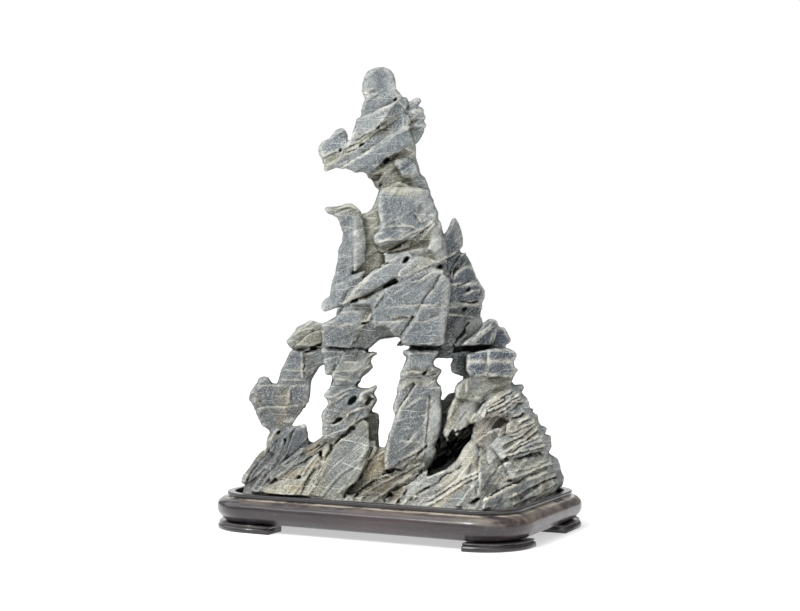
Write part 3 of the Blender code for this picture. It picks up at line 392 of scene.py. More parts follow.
def add_chunk(rock, chunk, unevenness):
    """A prism of the outline, from the far face to the leaning, turned near face, whose edge is broken."""
    piece = bmesh.new()
    back = piece.faces.new([piece.verts.new((x, y, 0.0)) for x, y in chunk[5]])
    raised = bmesh.ops.extrude_face_region(piece, geom=[back])["geom"]
    front = [item for item in raised if isinstance(item, bmesh.types.BMFace)]
    front_verts = {item for item in raised if isinstance(item, bmesh.types.BMVert)}
    for vert in piece.verts:
        x, y, _ = vert.co
        if vert in front_verts:
            vert.co = off_sheet(x, y, near_depth(chunk, x, y) - CHUNK_CHAMFER)
        else:
            vert.co = off_sheet(x, y, far_depth(chunk, x, y, unevenness))
    bmesh.ops.recalc_face_normals(piece, faces=piece.faces)
    bmesh.ops.inset_region(piece, faces=front, thickness=CHUNK_CHAMFER * MM, depth=CHUNK_CHAMFER * MM,
                           use_even_offset=False)
    bmesh.ops.triangulate(piece, faces=piece.faces)
    mesh = as_mesh(piece, chunk[0])
    rock.from_mesh(mesh)
    bpy.data.meshes.remove(mesh)


def rounded_outline(half_length, half_width, corner, segments=8):
    """Plan outline of a rounded rectangle, counter-clockwise from the middle of its front right corner."""
    points = []
    for index, (side_x, side_y) in enumerate(((1, -1), (1, 1), (-1, 1), (-1, -1))):
        for step in range(segments + 1):
            angle = math.radians(-90.0 + 90.0 * index + 90.0 * step / segments)
            x = side_x * (half_length - corner) + corner * math.cos(angle)
            y = side_y * (half_width - corner) + corner * math.sin(angle)
            points.append((x, y))
    return points


def loft(bm, rings):
    """A closed solid through plan outlines at rising heights; all outlines have as many points."""
    outline, height = rings[0]
    corners = [bm.verts.new(Vector((x, y, height)) * MM) for x, y in outline]
    base = bm.faces.new(corners)
    top = base
    for outline, height in rings[1:]:
        places = {tuple(corner.co): index for index, corner in enumerate(corners)}
        raised = bmesh.ops.extrude_face_region(bm, geom=[top])["geom"]
        if top is not base:
            bmesh.ops.delete(bm, geom=[top], context="FACES_ONLY")
        top = [item for item in raised if isinstance(item, bmesh.types.BMFace)][0]
        corners = sorted(top.verts, key=lambda corner: places[tuple(corner.co)])
        for corner, (x, y) in zip(corners, outline):
            corner.co = Vector((x, y, height)) * MM
    bmesh.ops.recalc_face_normals(bm, faces=bm.faces)


def shown(data, name):
    """That mesh, lamp or camera as an object in the scene."""
    obj = bpy.data.objects.new(name, data)
    bpy.context.scene.collection.objects.link(obj)
    return obj


def finished_mesh(obj):
    """A new mesh with the object's modifiers worked in; the object itself goes."""
    graph = bpy.context.evaluated_depsgraph_get()
    mesh = bpy.data.meshes.new_from_object(obj.evaluated_get(graph))
    bpy.data.objects.remove(obj)
    return mesh


def largest_shell(mesh):
    """The mesh without whatever is loose or sealed inside."""
    bm = bmesh.new()
    bm.from_mesh(mesh)
    unseen = set(bm.verts)
    shells = []
    while unseen:
        queue = [unseen.pop()]
        shell = list(queue)
        while queue:
            for edge in queue.pop().link_edges:
                for other in edge.verts:
                    if other in unseen:
                        unseen.remove(other)
                        shell.append(other)
                        queue.append(other)
        shells.append(shell)
    shells.sort(key=len)
    bmesh.ops.delete(bm, geom=[vert for shell in shells[:-1] for vert in shell], context="VERTS")
    bm.to_mesh(mesh)
    bm.free()


def places_of(mesh):
    """The mesh's vertices in millimetres."""
    flat = np.empty(len(mesh.vertices) * 3)
    mesh.vertices.foreach_get("co", flat)
    return flat.reshape(-1, 3) / MM


def put_places(mesh, points):
    """Moves the mesh's vertices to points given in millimetres."""
    mesh.vertices.foreach_set("co", (points * MM).ravel())
    mesh.update()


def normals_of(mesh):
    """The direction that the surface faces at each vertex."""
    flat = np.empty(len(mesh.vertices) * 3)
    mesh.vertex_normals.foreach_get("vector", flat)
    return flat.reshape(-1, 3)


def edge_ends(mesh):
    """The two vertices of each edge, as two arrays."""
    flat = np.empty(len(mesh.edges) * 2, dtype=np.int64)
    mesh.edges.foreach_get("vertices", flat)
    return flat[0::2], flat[1::2]


def spread(values, ends, count, rounds):
    """Values averaged over each vertex's neighbours, that many times."""
    first, second = ends
    share = np.bincount(first, minlength=count) + np.bincount(second, minlength=count)
    share = np.maximum(share, 1)
    for _ in range(rounds):
        total = np.bincount(first, weights=values[second], minlength=count)
        total += np.bincount(second, weights=values[first], minlength=count)
        values = total / share
    return values


def spread_points(points, ends, rounds):
    """Points averaged over their neighbours, that many times."""
    return np.stack([spread(points[:, axis], ends, len(points), rounds) for axis in range(3)], axis=1)


CHANCES = 4096
CELL_PRIMES = np.array([73856093, 19349663, 83492791])


def chance_at(cells, seed):
    """A fixed random value from -1 to 1 for each cell of a grid."""
    table = np.random.RandomState(seed).uniform(-1.0, 1.0, CHANCES)
    key = cells @ CELL_PRIMES
    return table[(key ^ (key >> 13)) & (CHANCES - 1)]


def lumps(points, size, seed):
    """Smooth random values from -1 to 1 whose bumps are about size millimetres across."""
    cell = np.floor(points / size).astype(np.int64)
    along = points / size - cell
    along = along * along * (3.0 - 2.0 * along)
    total = np.zeros(len(points))
    for corner in range(8):
        step = np.array([(corner >> axis) & 1 for axis in range(3)])
        weight = np.prod(np.where(step, along, 1.0 - along), axis=1)
        total += weight * chance_at(cell + step, seed)
    return total


def facets(points, size, seed):
    """Random values from -1 to 1 in flat slopes that meet in creases, about size millimetres across."""
    corner = np.floor(points / size).astype(np.int64)
    part = points / size - corner
    order = np.argsort(-part, axis=1)
    part = np.take_along_axis(part, order, axis=1)
    part = np.column_stack([np.ones(len(points)), part, np.zeros(len(points))])
    rows = np.arange(len(points))
    total = np.zeros(len(points))
    for step in range(4):
        total += (part[:, step] - part[:, step + 1]) * chance_at(corner, seed)
        if step < 3:
            corner[rows, order[:, step]] += 1
    return total


def rise(low, high, values):
    """0 below low, 1 above high, and a smooth slope between."""
    part = np.clip((values - low) / (high - low), 0.0, 1.0)
    return part * part * (3.0 - 2.0 * part)


def bump_at(values, middle, breadth):
    """1 at the middle value, falling away smoothly on both sides."""
    return np.exp(-((values - middle) / breadth) ** 2)


def beside_span(x, y, start, stop):
    """How far along a straight span each sheet point lies, from 0 to 1, and its distance from the span."""
    dx = stop[0] - start[0]
    dy = stop[1] - start[1]
    part = np.clip(((x - start[0]) * dx + (y - start[1]) * dy) / (dx * dx + dy * dy), 0.0, 1.0)
    return part, np.hypot(x - start[0] - part * dx, y - start[1] - part * dy)


def from_line(x, y, line):
    """Distance of each sheet point from a drawn line."""
    nearest = np.full(len(x), 1e9)
    for start, stop in zip(line, line[1:]):
        nearest = np.minimum(nearest, beside_span(x, y, start, stop)[1])
    return nearest


def around_outline(x, y, outline, margin):
    """The numbers of the sheet points that lie in the outline's own box or within the margin of it."""
    low = np.min(outline, axis=0) - margin
    high = np.max(outline, axis=0) + margin
    return np.nonzero((x > low[0]) & (x < high[0]) & (y > low[1]) & (y < high[1]))[0]


def inside_outline(x, y, outline):
    """Which sheet points lie inside an outline."""
    inside = np.zeros(len(x), dtype=bool)
    for (x0, y0), (x1, y1) in zip(outline, outline[1:] + outline[:1]):
        if y0 != y1:
            inside ^= ((y0 > y) != (y1 > y)) & (x < (x1 - x0) * (y - y0) / (y1 - y0) + x0)
    return inside


def inside_rounded(points, half_length, half_width, corner):
    """Points pulled in to the edge of an upright rounded box where they lie outside it."""
    core = np.clip(points[:, :2], [-half_length + corner, -half_width + corner],
                   [half_length - corner, half_width - corner])
    away = points[:, :2] - core
    far = np.maximum(np.linalg.norm(away, axis=1), 1e-9)
    pulled = points.copy()
    pulled[:, :2] = np.where((far > corner)[:, None], core + away * (corner / far)[:, None], points[:, :2])
    return pulled


# The pile of beds: its dip, and the spacing and seed of its thick beds and of the fine ribs laid over them.
BED_DIP = math.radians(31.0)
BEDS = (12.0, 21)
RIBS = (5.0, 22)

# Long open cracks: width, depth and the line each follows on the sheet.
CRACKS = [
    (1.3, 4.0, [(293, 349), (310, 348), (325, 348), (345, 349), (372, 350)]),
    (1.4, 4.5, [(404, 347.5), (420, 348), (440, 347.5)]),
    (0.8, 2.6, [(441, 275), (433, 289), (422, 304), (411, 318), (401, 336)]),
    (0.8, 2.6, [(345, 351), (339, 361), (331, 373)]),
    (0.7, 2.0, [(350, 347), (357, 336), (362, 328)]),
    (0.7, 2.0, [(400, 377), (420, 377.5), (436, 374)]),
    (0.8, 2.0, [(352, 300), (365, 297.5), (380, 289.5), (390, 284)]),
    (0.9, 3.0, [(380, 165.5), (389, 160), (398, 155)]),
    (1.5, 4.5, [(515, 459), (524, 456), (541, 453)]),
    (1.0, 3.0, [(448, 276), (456, 262), (460, 256)]),
    (1.0, 3.0, [(453, 345), (462, 334), (470, 323)]),
    (0.8, 2.4, [(382, 473), (392, 470)]),
    (0.7, 2.0, [(388, 318), (400, 318), (414, 316)]),
    (1.0, 3.2, [(247, 480), (258, 464), (267, 451), (276, 440)]),
    (1.1, 3.6, [(256, 489), (266, 475), (275, 464), (285, 451), (291, 438), (294, 428)]),
    (1.0, 3.2, [(267, 482), (278, 470), (289, 461), (308, 451), (320, 445)]),
    (0.9, 2.6, [(276, 480), (288, 473), (300, 467), (311, 456), (328, 441)]),
    (1.1, 3.4, [(305, 494), (313, 479), (321, 464), (327, 453), (340, 439), (354, 427)]),
    (1.0, 3.4, [(342, 498), (350, 489), (358, 480), (367, 466), (373, 447)]),
    (1.0, 3.0, [(354, 498), (362, 488), (371, 480), (386, 473), (402, 470), (416, 458), (427, 446)]),
    (1.0, 3.0, [(380, 503), (388, 495), (395, 489), (413, 479), (428, 464)]),
    (0.9, 2.6, [(408, 502), (420, 492), (434, 483), (448, 474), (462, 466)]),
    (1.0, 3.0, [(451, 281), (455, 272), (462, 262)]),
    (1.0, 3.2, [(457, 285), (465, 284), (473, 280)]),
    (0.9, 2.6, [(458, 301), (466, 303), (480, 303)]),
]

# Ledges: how far the stone on the left of each line, walked from its first point, stands out past the other.
LEDGES = [
    (1.4, [(364, 96), (370, 92), (379, 87)]),
    (1.5, [(366, 101), (372, 97), (380, 92.5)]),
    (-1.8, [(360, 117), (372, 112.5), (386, 106.5), (399, 99)]),
    (2.8, [(353, 141), (366, 134), (377, 128.5), (384, 119), (392, 108)]),
    (1.2, [(380, 125), (391, 118), (404, 110.5)]),
    (1.2, [(383, 128), (394, 121), (405, 114)]),
    (2.4, [(341, 150), (352, 145), (362, 139.5), (372, 133)]),
    (2.4, [(346, 152), (357, 147), (367, 140), (376, 132), (388, 126)]),
    (2.8, [(322, 158.5), (330, 154.5), (342, 149)]),
    (-1.2, [(326, 164), (338, 157.5), (350, 151.5), (358, 148)]),
    (-2.6, [(338, 168), (350, 161), (370, 149.5), (390, 137.5), (409, 126)]),
    (-1.6, [(370, 174.5), (383, 168), (400, 156.5)]),
    (1.4, [(379, 183), (388, 173), (396, 166), (405, 160)]),
    (1.2, [(382, 183), (392, 172), (398, 167)]),
    (1.2, [(398, 163), (399, 171), (403, 176), (411, 173)]),
    (-1.2, [(404, 111), (414, 110), (423, 108)]),
    (1.4, [(406, 116), (414, 113.5), (423, 112.5)]),
    (1.4, [(410, 121.5), (418, 119), (424, 118)]),
    (2.2, [(411, 126), (418, 127), (426, 127)]),
    (1.4, [(403, 128), (405, 120), (403, 112)]),
    (-1.4, [(380, 190), (388, 186), (398, 181.5), (412, 187)]),
    (1.8, [(380, 230), (392, 227), (404, 227.5), (418, 229)]),
    (1.2, [(383, 226), (392, 222), (402, 218), (411, 212)]),
    (1.2, [(411, 212), (417, 217), (421, 223), (431, 219)]),
    (2.4, [(376, 243), (386, 241.5), (402, 239.5), (412, 234), (424, 228)]),
    (1.8, [(410, 240), (420, 232), (430, 225), (437, 219)]),
    (1.4, [(420, 241), (430, 230), (438, 222)]),
    (1.6, [(379, 251), (388, 252), (400, 250), (412, 246)]),
    (-1.6, [(380, 268), (390, 260), (402, 252.5), (414, 249), (426, 246)]),
    (1.8, [(337, 210), (346, 207), (352, 206.5), (358, 211), (364, 215)]),
    (-1.0, [(332, 215), (342, 211), (351, 208)]),
    (0.6, [(362, 262), (361, 245), (360, 232), (357, 222), (355, 215)]),
    (-1.6, [(343, 304), (352, 292), (362, 283), (373, 272), (384, 267)]),
    (1.4, [(356, 289), (366, 281), (377, 271)]),
    (1.5, [(341, 305), (352, 299.5), (365, 297), (380, 289), (395, 282), (406, 278)]),
    (-1.8, [(405, 279), (398, 276), (399, 271), (405, 266), (412, 260)]),
    (1.8, [(404, 278), (412, 275), (424, 269), (434, 265)]),
    (2.2, [(436, 264), (446, 258.5), (458, 252)]),
    (-2.0, [(408, 281), (420, 279.5), (430, 273), (438, 270), (444, 274)]),
    (-1.2, [(384, 307), (396, 306), (410, 304.5), (438, 303.5)]),
    (1.8, [(386, 318.5), (400, 318), (415, 316)]),
    (-1.0, [(376, 322), (388, 321.5), (402, 320)]),
    (1.6, [(373, 309), (379, 300), (386, 292)]),
    (2.0, [(360, 322.5), (367, 322), (373, 315)]),
    (2.0, [(351, 347), (358, 335), (365, 326), (373, 312)]),
    (-1.0, [(334, 326), (344, 324.5), (358, 322)]),
    (-1.0, [(340, 312), (350, 311), (362, 311)]),
    (-1.4, [(420, 322), (430, 318.5), (442, 315)]),
    (-1.2, [(446, 307), (460, 304.5), (481, 303)]),
    (-1.6, [(450, 280), (458, 270.5), (467, 265.5)]),
    (-1.6, [(464, 286), (471, 280.5), (478, 278)]),
    (-1.6, [(462, 295), (470, 290.5), (481, 288)]),
    (1.6, [(447, 316), (460, 316), (476, 319)]),
    (-1.8, [(470, 342), (480, 332), (492, 323)]),
    (2.0, [(474, 344), (484, 335), (497, 325)]),
    (1.4, [(490, 345), (494, 333), (498, 328)]),
    (1.4, [(291, 338), (298, 333), (306, 330), (317, 331)]),
    (1.2, [(296, 333), (306, 327), (314, 322)]),
    (-2.0, [(295, 346), (303, 338), (313, 332), (324, 330)]),
    (1.0, [(284, 371.5), (296, 372), (308, 372)]),
    (1.0, [(279, 381), (294, 381), (309, 382)]),
    (-1.0, [(256, 386), (268, 384), (284, 384.5), (309, 385)]),
    (-1.3, [(256, 407.5), (270, 406.5), (284, 405.5), (302, 404.5)]),
    (2.0, [(304, 380), (303, 362), (304, 352)]),
    (1.2, [(290, 405), (290, 396), (291, 388)]),
    (1.6, [(293, 423), (297, 415), (304, 407), (308, 400)]),
    (-1.2, [(262, 404), (262, 396), (264, 390)]),
    (1.2, [(286, 406), (289, 398), (291, 390)]),
    (-1.2, [(341, 361), (350, 360.5), (362, 361)]),
    (1.0, [(333, 373), (345, 372.5), (360, 371)]),
    (1.0, [(334, 380), (346, 380.5), (354, 384)]),
    (2.0, [(358, 379), (364, 371), (373, 366)]),
    (1.8, [(364, 366), (368, 358), (376, 353)]),
    (1.6, [(328, 401), (336, 396), (346, 391), (358, 387)]),
    (1.4, [(334, 404), (342, 398), (352, 392)]),
    (-1.8, [(357, 402), (360, 394), (366, 390), (374, 387)]),
    (2.0, [(362, 405), (368, 399), (376, 397)]),
    (-1.8, [(343, 424), (347, 413), (356, 408), (367, 405)]),
    (1.6, [(330, 428), (340, 424), (350, 414), (366, 407)]),
    (2.6, [(343, 433), (352, 426), (362, 419), (373, 415)]),
    (1.2, [(354, 424), (359, 414), (365, 409)]),
    (-1.0, [(340, 437.5), (350, 437), (363, 437)]),
    (-1.0, [(318, 482), (322, 468), (329, 454), (337, 443), (344, 435)]),
    (1.0, [(340, 494), (350, 480), (359, 465), (366, 452), (373, 441)]),
    (2.2, [(271, 442), (275, 434), (281, 429)]),
    (2.6, [(279, 450), (283, 443), (287, 435)]),
    (1.6, [(262, 477), (268, 466), (276, 455), (283, 447)]),
    (-1.2, [(266, 471), (272, 462), (281, 454)]),
    (2.4, [(247, 484), (257, 476), (264, 470), (269, 465)]),
    (-1.6, [(262, 483), (270, 472), (281, 463), (292, 456), (302, 450), (310, 448)]),
    (2.8, [(268, 484), (280, 476), (292, 467), (303, 461), (312, 456), (321, 448)]),
    (-1.2, [(282, 476), (290, 470), (298, 466), (305, 461)]),
    (2.8, [(302, 478), (306, 470), (312, 462), (321, 452)]),
    (2.0, [(297, 481), (300, 474), (304, 467)]),
    (2.4, [(299, 497), (304, 484), (310, 474), (320, 462)]),
    (1.6, [(304, 497), (312, 484), (320, 471), (326, 460)]),
    (-1.2, [(262, 492), (270, 485), (279, 480.5), (292, 480)]),
    (1.2, [(286, 495), (292, 487), (299, 481)]),
    (2.8, [(354, 494), (364, 486), (376, 479), (391, 474)]),
    (1.8, [(360, 497), (370, 491), (384, 483), (398, 476), (410, 470), (423, 463)]),
    (-1.4, [(356, 500), (366, 493.5), (379, 487)]),
    (1.8, [(382, 503), (390, 492), (398, 485), (411, 477), (421, 468)]),
    (2.4, [(384, 501), (391, 495), (399, 490)]),
    (1.8, [(392, 489), (404, 480), (417, 472), (426, 466)]),
    (2.0, [(402, 506), (410, 497), (421, 490)]),
    (1.6, [(412, 501), (420, 492), (431, 484)]),
    (-1.8, [(424, 479), (433, 473.5), (446, 470)]),
    (2.2, [(418, 507), (430, 500), (442, 492), (452, 485), (461, 480), (480, 471.5)]),
    (2.0, [(424, 509), (436, 502), (446, 495), (457, 488), (468, 481), (480, 476)]),
    (-1.6, [(430, 497), (444, 489), (456, 479), (465, 468), (472, 460)]),
    (1.2, [(407, 355.5), (420, 354), (433, 353)]),
    (-1.4, [(402, 372), (412, 370), (423, 371)]),
    (1.4, [(430, 373), (434, 370), (441, 370)]),
    (1.8, [(398, 393), (406, 387), (415, 380.5)]),
    (-2.2, [(395, 418), (400, 406), (408, 395), (417, 382)]),
    (1.2, [(404, 410), (412, 405), (420, 400), (429, 398)]),
    (-1.4, [(406, 443), (414, 434), (422, 426), (428, 417)]),
    (-0.9, [(396, 441), (410, 440), (423, 440)]),
    (2.0, [(424, 456), (425, 440), (427, 424), (429, 408), (430, 392)]),
    (2.0, [(392, 468), (400, 461), (412, 455), (424, 448)]),
    (-1.4, [(465, 396), (465, 386), (467, 377)]),
    (-1.2, [(466, 398), (474, 398), (484, 395)]),
    (-1.6, [(445, 414), (450, 406), (456, 396)]),
    (2.8, [(446, 438), (453, 433.5), (461, 430), (470, 424), (480, 420)]),
    (1.4, [(449, 453), (456, 444), (464, 434), (473, 424)]),
    (1.4, [(447, 447), (454, 440), (462, 432)]),
    (1.4, [(452, 461), (458, 451), (467, 441)]),
    (-1.6, [(474, 441), (482, 436), (492, 430), (503, 427)]),
    (1.4, [(470, 425), (476, 414), (481, 405), (484, 396)]),
    (1.2, [(475, 422), (481, 411), (486, 403)]),
    (2.0, [(483, 410), (490, 404.5), (498, 399.5), (507, 394), (513, 390)]),
    (2.4, [(484, 414), (491, 407), (500, 402.5), (509, 399), (517, 394)]),
    (2.8, [(482, 419), (487, 412.5), (494, 409.5), (503, 406), (511, 400), (521, 395)]),
    (2.4, [(496, 413), (505, 410), (513, 403), (523, 398)]),
    (1.6, [(503, 415), (512, 409), (519, 403), (526, 401)]),
    (2.4, [(510, 419), (518, 415.5), (526, 411)]),
    (2.4, [(516, 431), (518, 425), (522, 421), (531, 417)]),
    (2.4, [(497, 438), (503, 434.5), (510, 434), (516, 431), (526, 426), (537, 421)]),
    (2.0, [(509, 437), (518, 434), (527, 430), (538, 424)]),
    (2.2, [(500, 447), (506, 443), (512, 440), (522, 436), (534, 427)]),
    (2.6, [(503, 455), (511, 449), (520, 442.5), (530, 436.5), (540, 429)]),
    (2.2, [(510, 452), (518, 447.5), (529, 441), (541, 436)]),
    (1.8, [(516, 454), (526, 447), (536, 443), (545, 441)]),
    (3.0, [(498, 460), (506, 457), (516, 453.5), (527, 450.5), (538, 448.5), (547, 446)]),
    (-2.0, [(496, 468), (503, 464), (510, 459)]),
    (2.2, [(505, 481), (518, 477), (530, 472.5), (541, 468.5), (553, 463)]),
    (1.6, [(512, 472), (524, 470), (536, 466), (549, 460)]),
    (-2.2, [(480, 501), (490, 496), (502, 490), (512, 485), (524, 480), (536, 474.5), (550, 470)]),
    (2.0, [(508, 500), (520, 493), (532, 486), (544, 480), (558, 475)]),
    (-1.6, [(518, 502), (528, 494), (538, 486), (550, 480), (560, 478)]),
    (1.6, [(512, 507), (524, 500), (536, 495), (548, 488), (560, 482)]),
    (1.4, [(530, 502), (540, 497), (552, 490)]),
    (-1.6, [(477, 497), (478.5, 482), (478, 466), (479, 452), (477, 441)]),
    (1.4, [(481, 492), (485, 484), (489, 476), (497, 468)]),
]

# Pits and holes: sheet x, sheet y, half width, half height and depth.
PITS = [
    (341, 149.5, 2.4, 1.6, 5), (362, 144, 3.4, 2.0, 6), (378, 127, 2.2, 1.8, 5), (395, 100, 2.4, 2.0, 6),
    (406, 260, 4.0, 3.4, 12), (355, 300.5, 5.0, 2.6, 9), (365, 323, 3.6, 2.2, 5), (314, 348, 11, 2.6, 10),
    (352, 401, 5.4, 4.6, 11), (337, 421, 6.0, 3.0, 9), (368, 400, 4.0, 5.0, 4), (358, 384, 3.6, 2.6, 6),
    (424, 373, 3.0, 2.4, 6), (279, 433, 2.6, 3.6, 5), (284, 441, 2.0, 3.4, 5), (272, 481, 5.0, 3.0, 6),
    (298, 478, 2.4, 2.2, 5), (388, 496, 5.4, 2.4, 8), (398, 501, 3.2, 1.8, 6), (366, 497, 4.4, 2.0, 6),
    (405, 493, 3.0, 3.0, 6), (475, 502, 6.0, 3.4, 9), (502, 421, 13, 6.0, 4), (468, 289, 2.6, 2.6, 6),
    (465, 309, 2.8, 2.4, 6), (452, 440, 5.0, 9.0, 10), (440, 462, 8.0, 6.0, 10), (398, 246, 10, 3.0, 5),
    (375, 178, 7.0, 4.5, 4), (380, 186, 4.0, 3.0, 4), (527, 457, 12, 2.4, 6), (520, 447, 3.0, 2.0, 4),
    (331, 447, 3.0, 4.0, 4), (391, 472, 5.0, 2.0, 6), (388, 264, 3.0, 1.6, 4),
]


def bed_height(points, x, y, near):
    """How far a point is up through the pile of beds, in millimetres.

    The beds climb to the right; they stand steeper in the left foot, and fan out over the right flank.
    """
    height = (SHEET_EYE_Y - y) * math.cos(BED_DIP) - (x - SHEET_AXIS_X) * math.sin(BED_DIP)
    steep = (320.0 - x) * 0.72 + (440.0 - y) * 0.69 - 74.0
    height += (steep - height) * rise(360.0, 300.0, x) * rise(420.0, 460.0, y)
    run = np.clip(x - 450.0, -30.0, 120.0)
    fan = 0.78 * (470.0 - y - 1.15 * run + 0.0036 * run ** 2) - 167.0
    fanned = rise(425.0, 465.0, x) * rise(372.0, 400.0, y)
    height += (fan - height) * fanned
    waves = 4.0 * lumps(points, 50.0, 11) + 0.6 * lumps(points, 16.0, 12)
    height += 0.3 * near + (1.0 - 0.6 * fanned) * waves
    return height + 2.4 * lumps(np.stack([height, 0.0 * height, 0.0 * height], axis=1), 9.0, 13)


def beds(points, x, y, near, spacing, seed):
    """How far the face of each bed stands out, from -1 to 1, how high each point is over the bed's foot and
    under its top, and how open the joints below and above are.

    Each bed leans out towards its foot and overhangs the joint below it.
    """
    level = bed_height(points, x, y, near) / spacing
    along = points @ ACROSS
    deep = (points @ TOWARDS_EYE) * 1.3
    number = np.floor(level)
    opened, above = (
        rise(-0.35, 0.6, lumps(np.stack([number * 61.0 + shift, along, deep], axis=1), 40.0, seed))
        for shift in (0.0, 61.0))
    part = level - number
    proud = opened * (1.0 - part) ** 1.5 - above * part ** 2
    return proud, part * spacing, (1.0 - part) * spacing, opened, above


def ribbing(points, x, y):
    """Where the rock is finely ribbed: its right flank, the low slabs, the fan on the crest."""
    ribbed = np.maximum(rise(425.0, 470.0, x) * rise(380.0, 402.0, y), 0.8 * rise(432.0, 456.0, y))
    ribbed = np.maximum(ribbed, 0.8 * rise(398.0, 404.0, x) * rise(150.0, 130.0, y))
    return ribbed * rise(-0.9, -0.1, lumps(points, 30.0, 26))


def pit_depth(points, x, y, normals, edge):
    """How deep each point is sunk by the pits that face the front; their outlines are ragged."""
    ragged_x = x + 1.2 * lumps(points, 9.0, 31) + 0.9 * lumps(points, 3.6, 32)
    ragged_y = y + 0.9 * lumps(points, 4.0, 33)
    sink = np.zeros(len(points))
    for pit_x, pit_y, half_width, half_height, depth in PITS:
        slide = 0.45 * (ragged_x - pit_x)
        away = np.hypot((ragged_x - pit_x) / half_width, (ragged_y - pit_y + slide) / half_height)
        sink = np.maximum(sink, depth * (1.0 - rise(edge, 1.15, away)))
    return sink * rise(-0.1, 0.4, normals @ TOWARDS_EYE)


LEDGE_REACH = 12.0


def ledge_faces(points, x, y):
    """The step at each drawn ledge, how much of its lip, partly painted highlight, and of its foot, painted
    shade, each point is.
    """
    wander_x = x + 0.8 * lumps(points, 9.0, 36) + 0.4 * lumps(points, 3.0, 37)
    wander_y = y + 0.8 * lumps(points, 9.0, 38) + 0.4 * lumps(points, 3.0, 39)
    bold = 1.0 + 0.6 * rise(474.0, 490.0, x) * rise(380.0, 392.0, y)
    step = np.zeros(len(x))
    lip = np.zeros(len(x))
    foot = np.zeros(len(x))
    for drop, line in LEDGES:
        near_by = around_outline(wander_x, wander_y, line, LEDGE_REACH)
        at_x = wander_x[near_by]
        at_y = wander_y[near_by]
        away = np.full(len(near_by), 1e9)
        side = np.zeros(len(near_by))
        run = np.zeros(len(near_by))
        lengths = np.hypot(*np.diff(line, axis=0).T)
        for index, (start, stop) in enumerate(zip(line, line[1:])):
            part, gap = beside_span(at_x, at_y, start, stop)
            left = (stop[1] - start[1]) * (at_x - start[0]) - (stop[0] - start[0]) * (at_y - start[1])
            closer = gap < away
            away = np.where(closer, gap, away)
            side = np.where(closer, np.sign(left), side)
            run = np.where(closer, lengths[:index].sum() + part * lengths[index], run)
        whole = lengths.sum()
        fade = rise(0.0, 4.0, run) * rise(whole, whole - 4.0, run)
        out = away * side * np.sign(drop)
        amount = abs(drop) * fade
        step[near_by] += amount * np.where(out > 0.0, 0.45 * np.exp(-out / 4.5), -0.55 * np.exp(out / 3.0))
        clear = fade * (0.3 + 0.7 * min(abs(drop) / 2.6, 1.0))
        breadth = 0.9 + 0.3 * (bold[near_by] - 1.0) / 0.6
        lip[near_by] = np.maximum(lip[near_by], clear * bump_at(out, 1.1, breadth))
        foot[near_by] = np.maximum(foot[near_by], np.minimum(amount / 2.2, 1.0) * bump_at(out, -0.8, 1.0))
    return bold * step, lip, foot


def crack_depth(points, x, y, breadth):
    """How deep each point is sunk by the long cracks, which wander, open and close along their way."""
    wander = 1.1 * lumps(points, 9.0, 31) + 0.5 * lumps(points, 3.0, 34)
    fade = 0.45 + 0.75 * rise(-0.5, 0.4, lumps(points, 14.0, 35))
    cut = np.zeros(len(points))
    for width, depth, line in CRACKS:
        away = from_line(x + wander, y + wander, line)
        cut = np.maximum(cut, depth * bump_at(away, 0.0, breadth * width))
    return cut * fade


def worn_smooth(points, ends, x, y, flow, flank):
    """Wears the arrises round, most of all on the flowing low slabs, and levels the right flank's slabs."""
    soft = points
    for _ in range(2):
        soft = spread_points(soft, ends, 5)
        soft = points + (soft - points) * 0.9
    rounding = np.maximum(0.35 + 0.3 * rise(430.0, 395.0, y) * rise(455.0, 440.0, x), 0.9 * flow)
    points = points + (soft - points) * rounding[:, None]
    depth = points @ TOWARDS_EYE
    smooth = spread(depth, ends, len(points), 60)
    centre = rise(480.0, 490.0, x) * rise(530.0, 514.0, x) * rise(394.0, 406.0, y) * rise(480.0, 466.0, y)
    smooth += centre * (spread(smooth, ends, len(points), 160) - smooth)
    return points + TOWARDS_EYE * (0.95 * flank * (smooth - depth))[:, None]


def broken_flat(points, normals, x, y, near, flow):
    """Breaks the faces into flat facets that lie along the beds."""
    facing = 0.45 + 0.55 * np.abs(normals @ TOWARDS_EYE)
    block = np.stack([x / 1.6, bed_height(points, x, y, near), 0.9 * near], axis=1)
    uneven = 2.3 * facets(block, 19.0, 5) + 1.1 * facets(block, 8.0, 6) + 0.5 * lumps(points, 12.0, 2)
    return points + normals * (facing * (1.0 - 0.5 * flow) * uneven)[:, None]


def stepped(points, normals, x, y, near, flank):
    """Steps the faces at the beds, at the fine ribs and at the drawn ledges."""
    ribbed = ribbing(points, x, y)
    drawn = 1.0 - 0.6 * flank
    push = (0.6 + 0.9 * ribbed) * drawn * beds(points, x, y, near, *BEDS)[0]
    push += (0.25 + 0.25 * ribbed) * drawn * beds(points, x, y, near, *RIBS)[0]
    push += ledge_faces(points, x, y)[0]
    return points + normals * push[:, None]


def opened_up(points, normals, x, y):
    """Sinks the long cracks and the pits."""
    points = points - normals * crack_depth(points, x, y, 1.0)[:, None]
    return points - TOWARDS_EYE * pit_depth(points, x, y, normals, 0.35)[:, None]


def seated(points, normals):
    """Gives the skin its grit, and keeps it in the recess below and inside the node's own box."""
    grit = 0.30 * facets(points, 4.0, 42) + 0.20 * lumps(points, 2.6, 43)
    points = points + normals * grit[:, None]
    points[:, 2] = np.maximum(points[:, 2], RECESS_FLOOR + 0.4)
    low = points[:, 2] < RIM_TOP + 2.0
    in_recess = inside_rounded(points, *HELD_IN_RECESS)
    points = np.where(low[:, None], in_recess, inside_rounded(points, *HELD_ABOVE))
    box_low, box_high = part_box("rock")
    return np.clip(points, np.array(box_low) / MM, np.array(box_high) / MM)


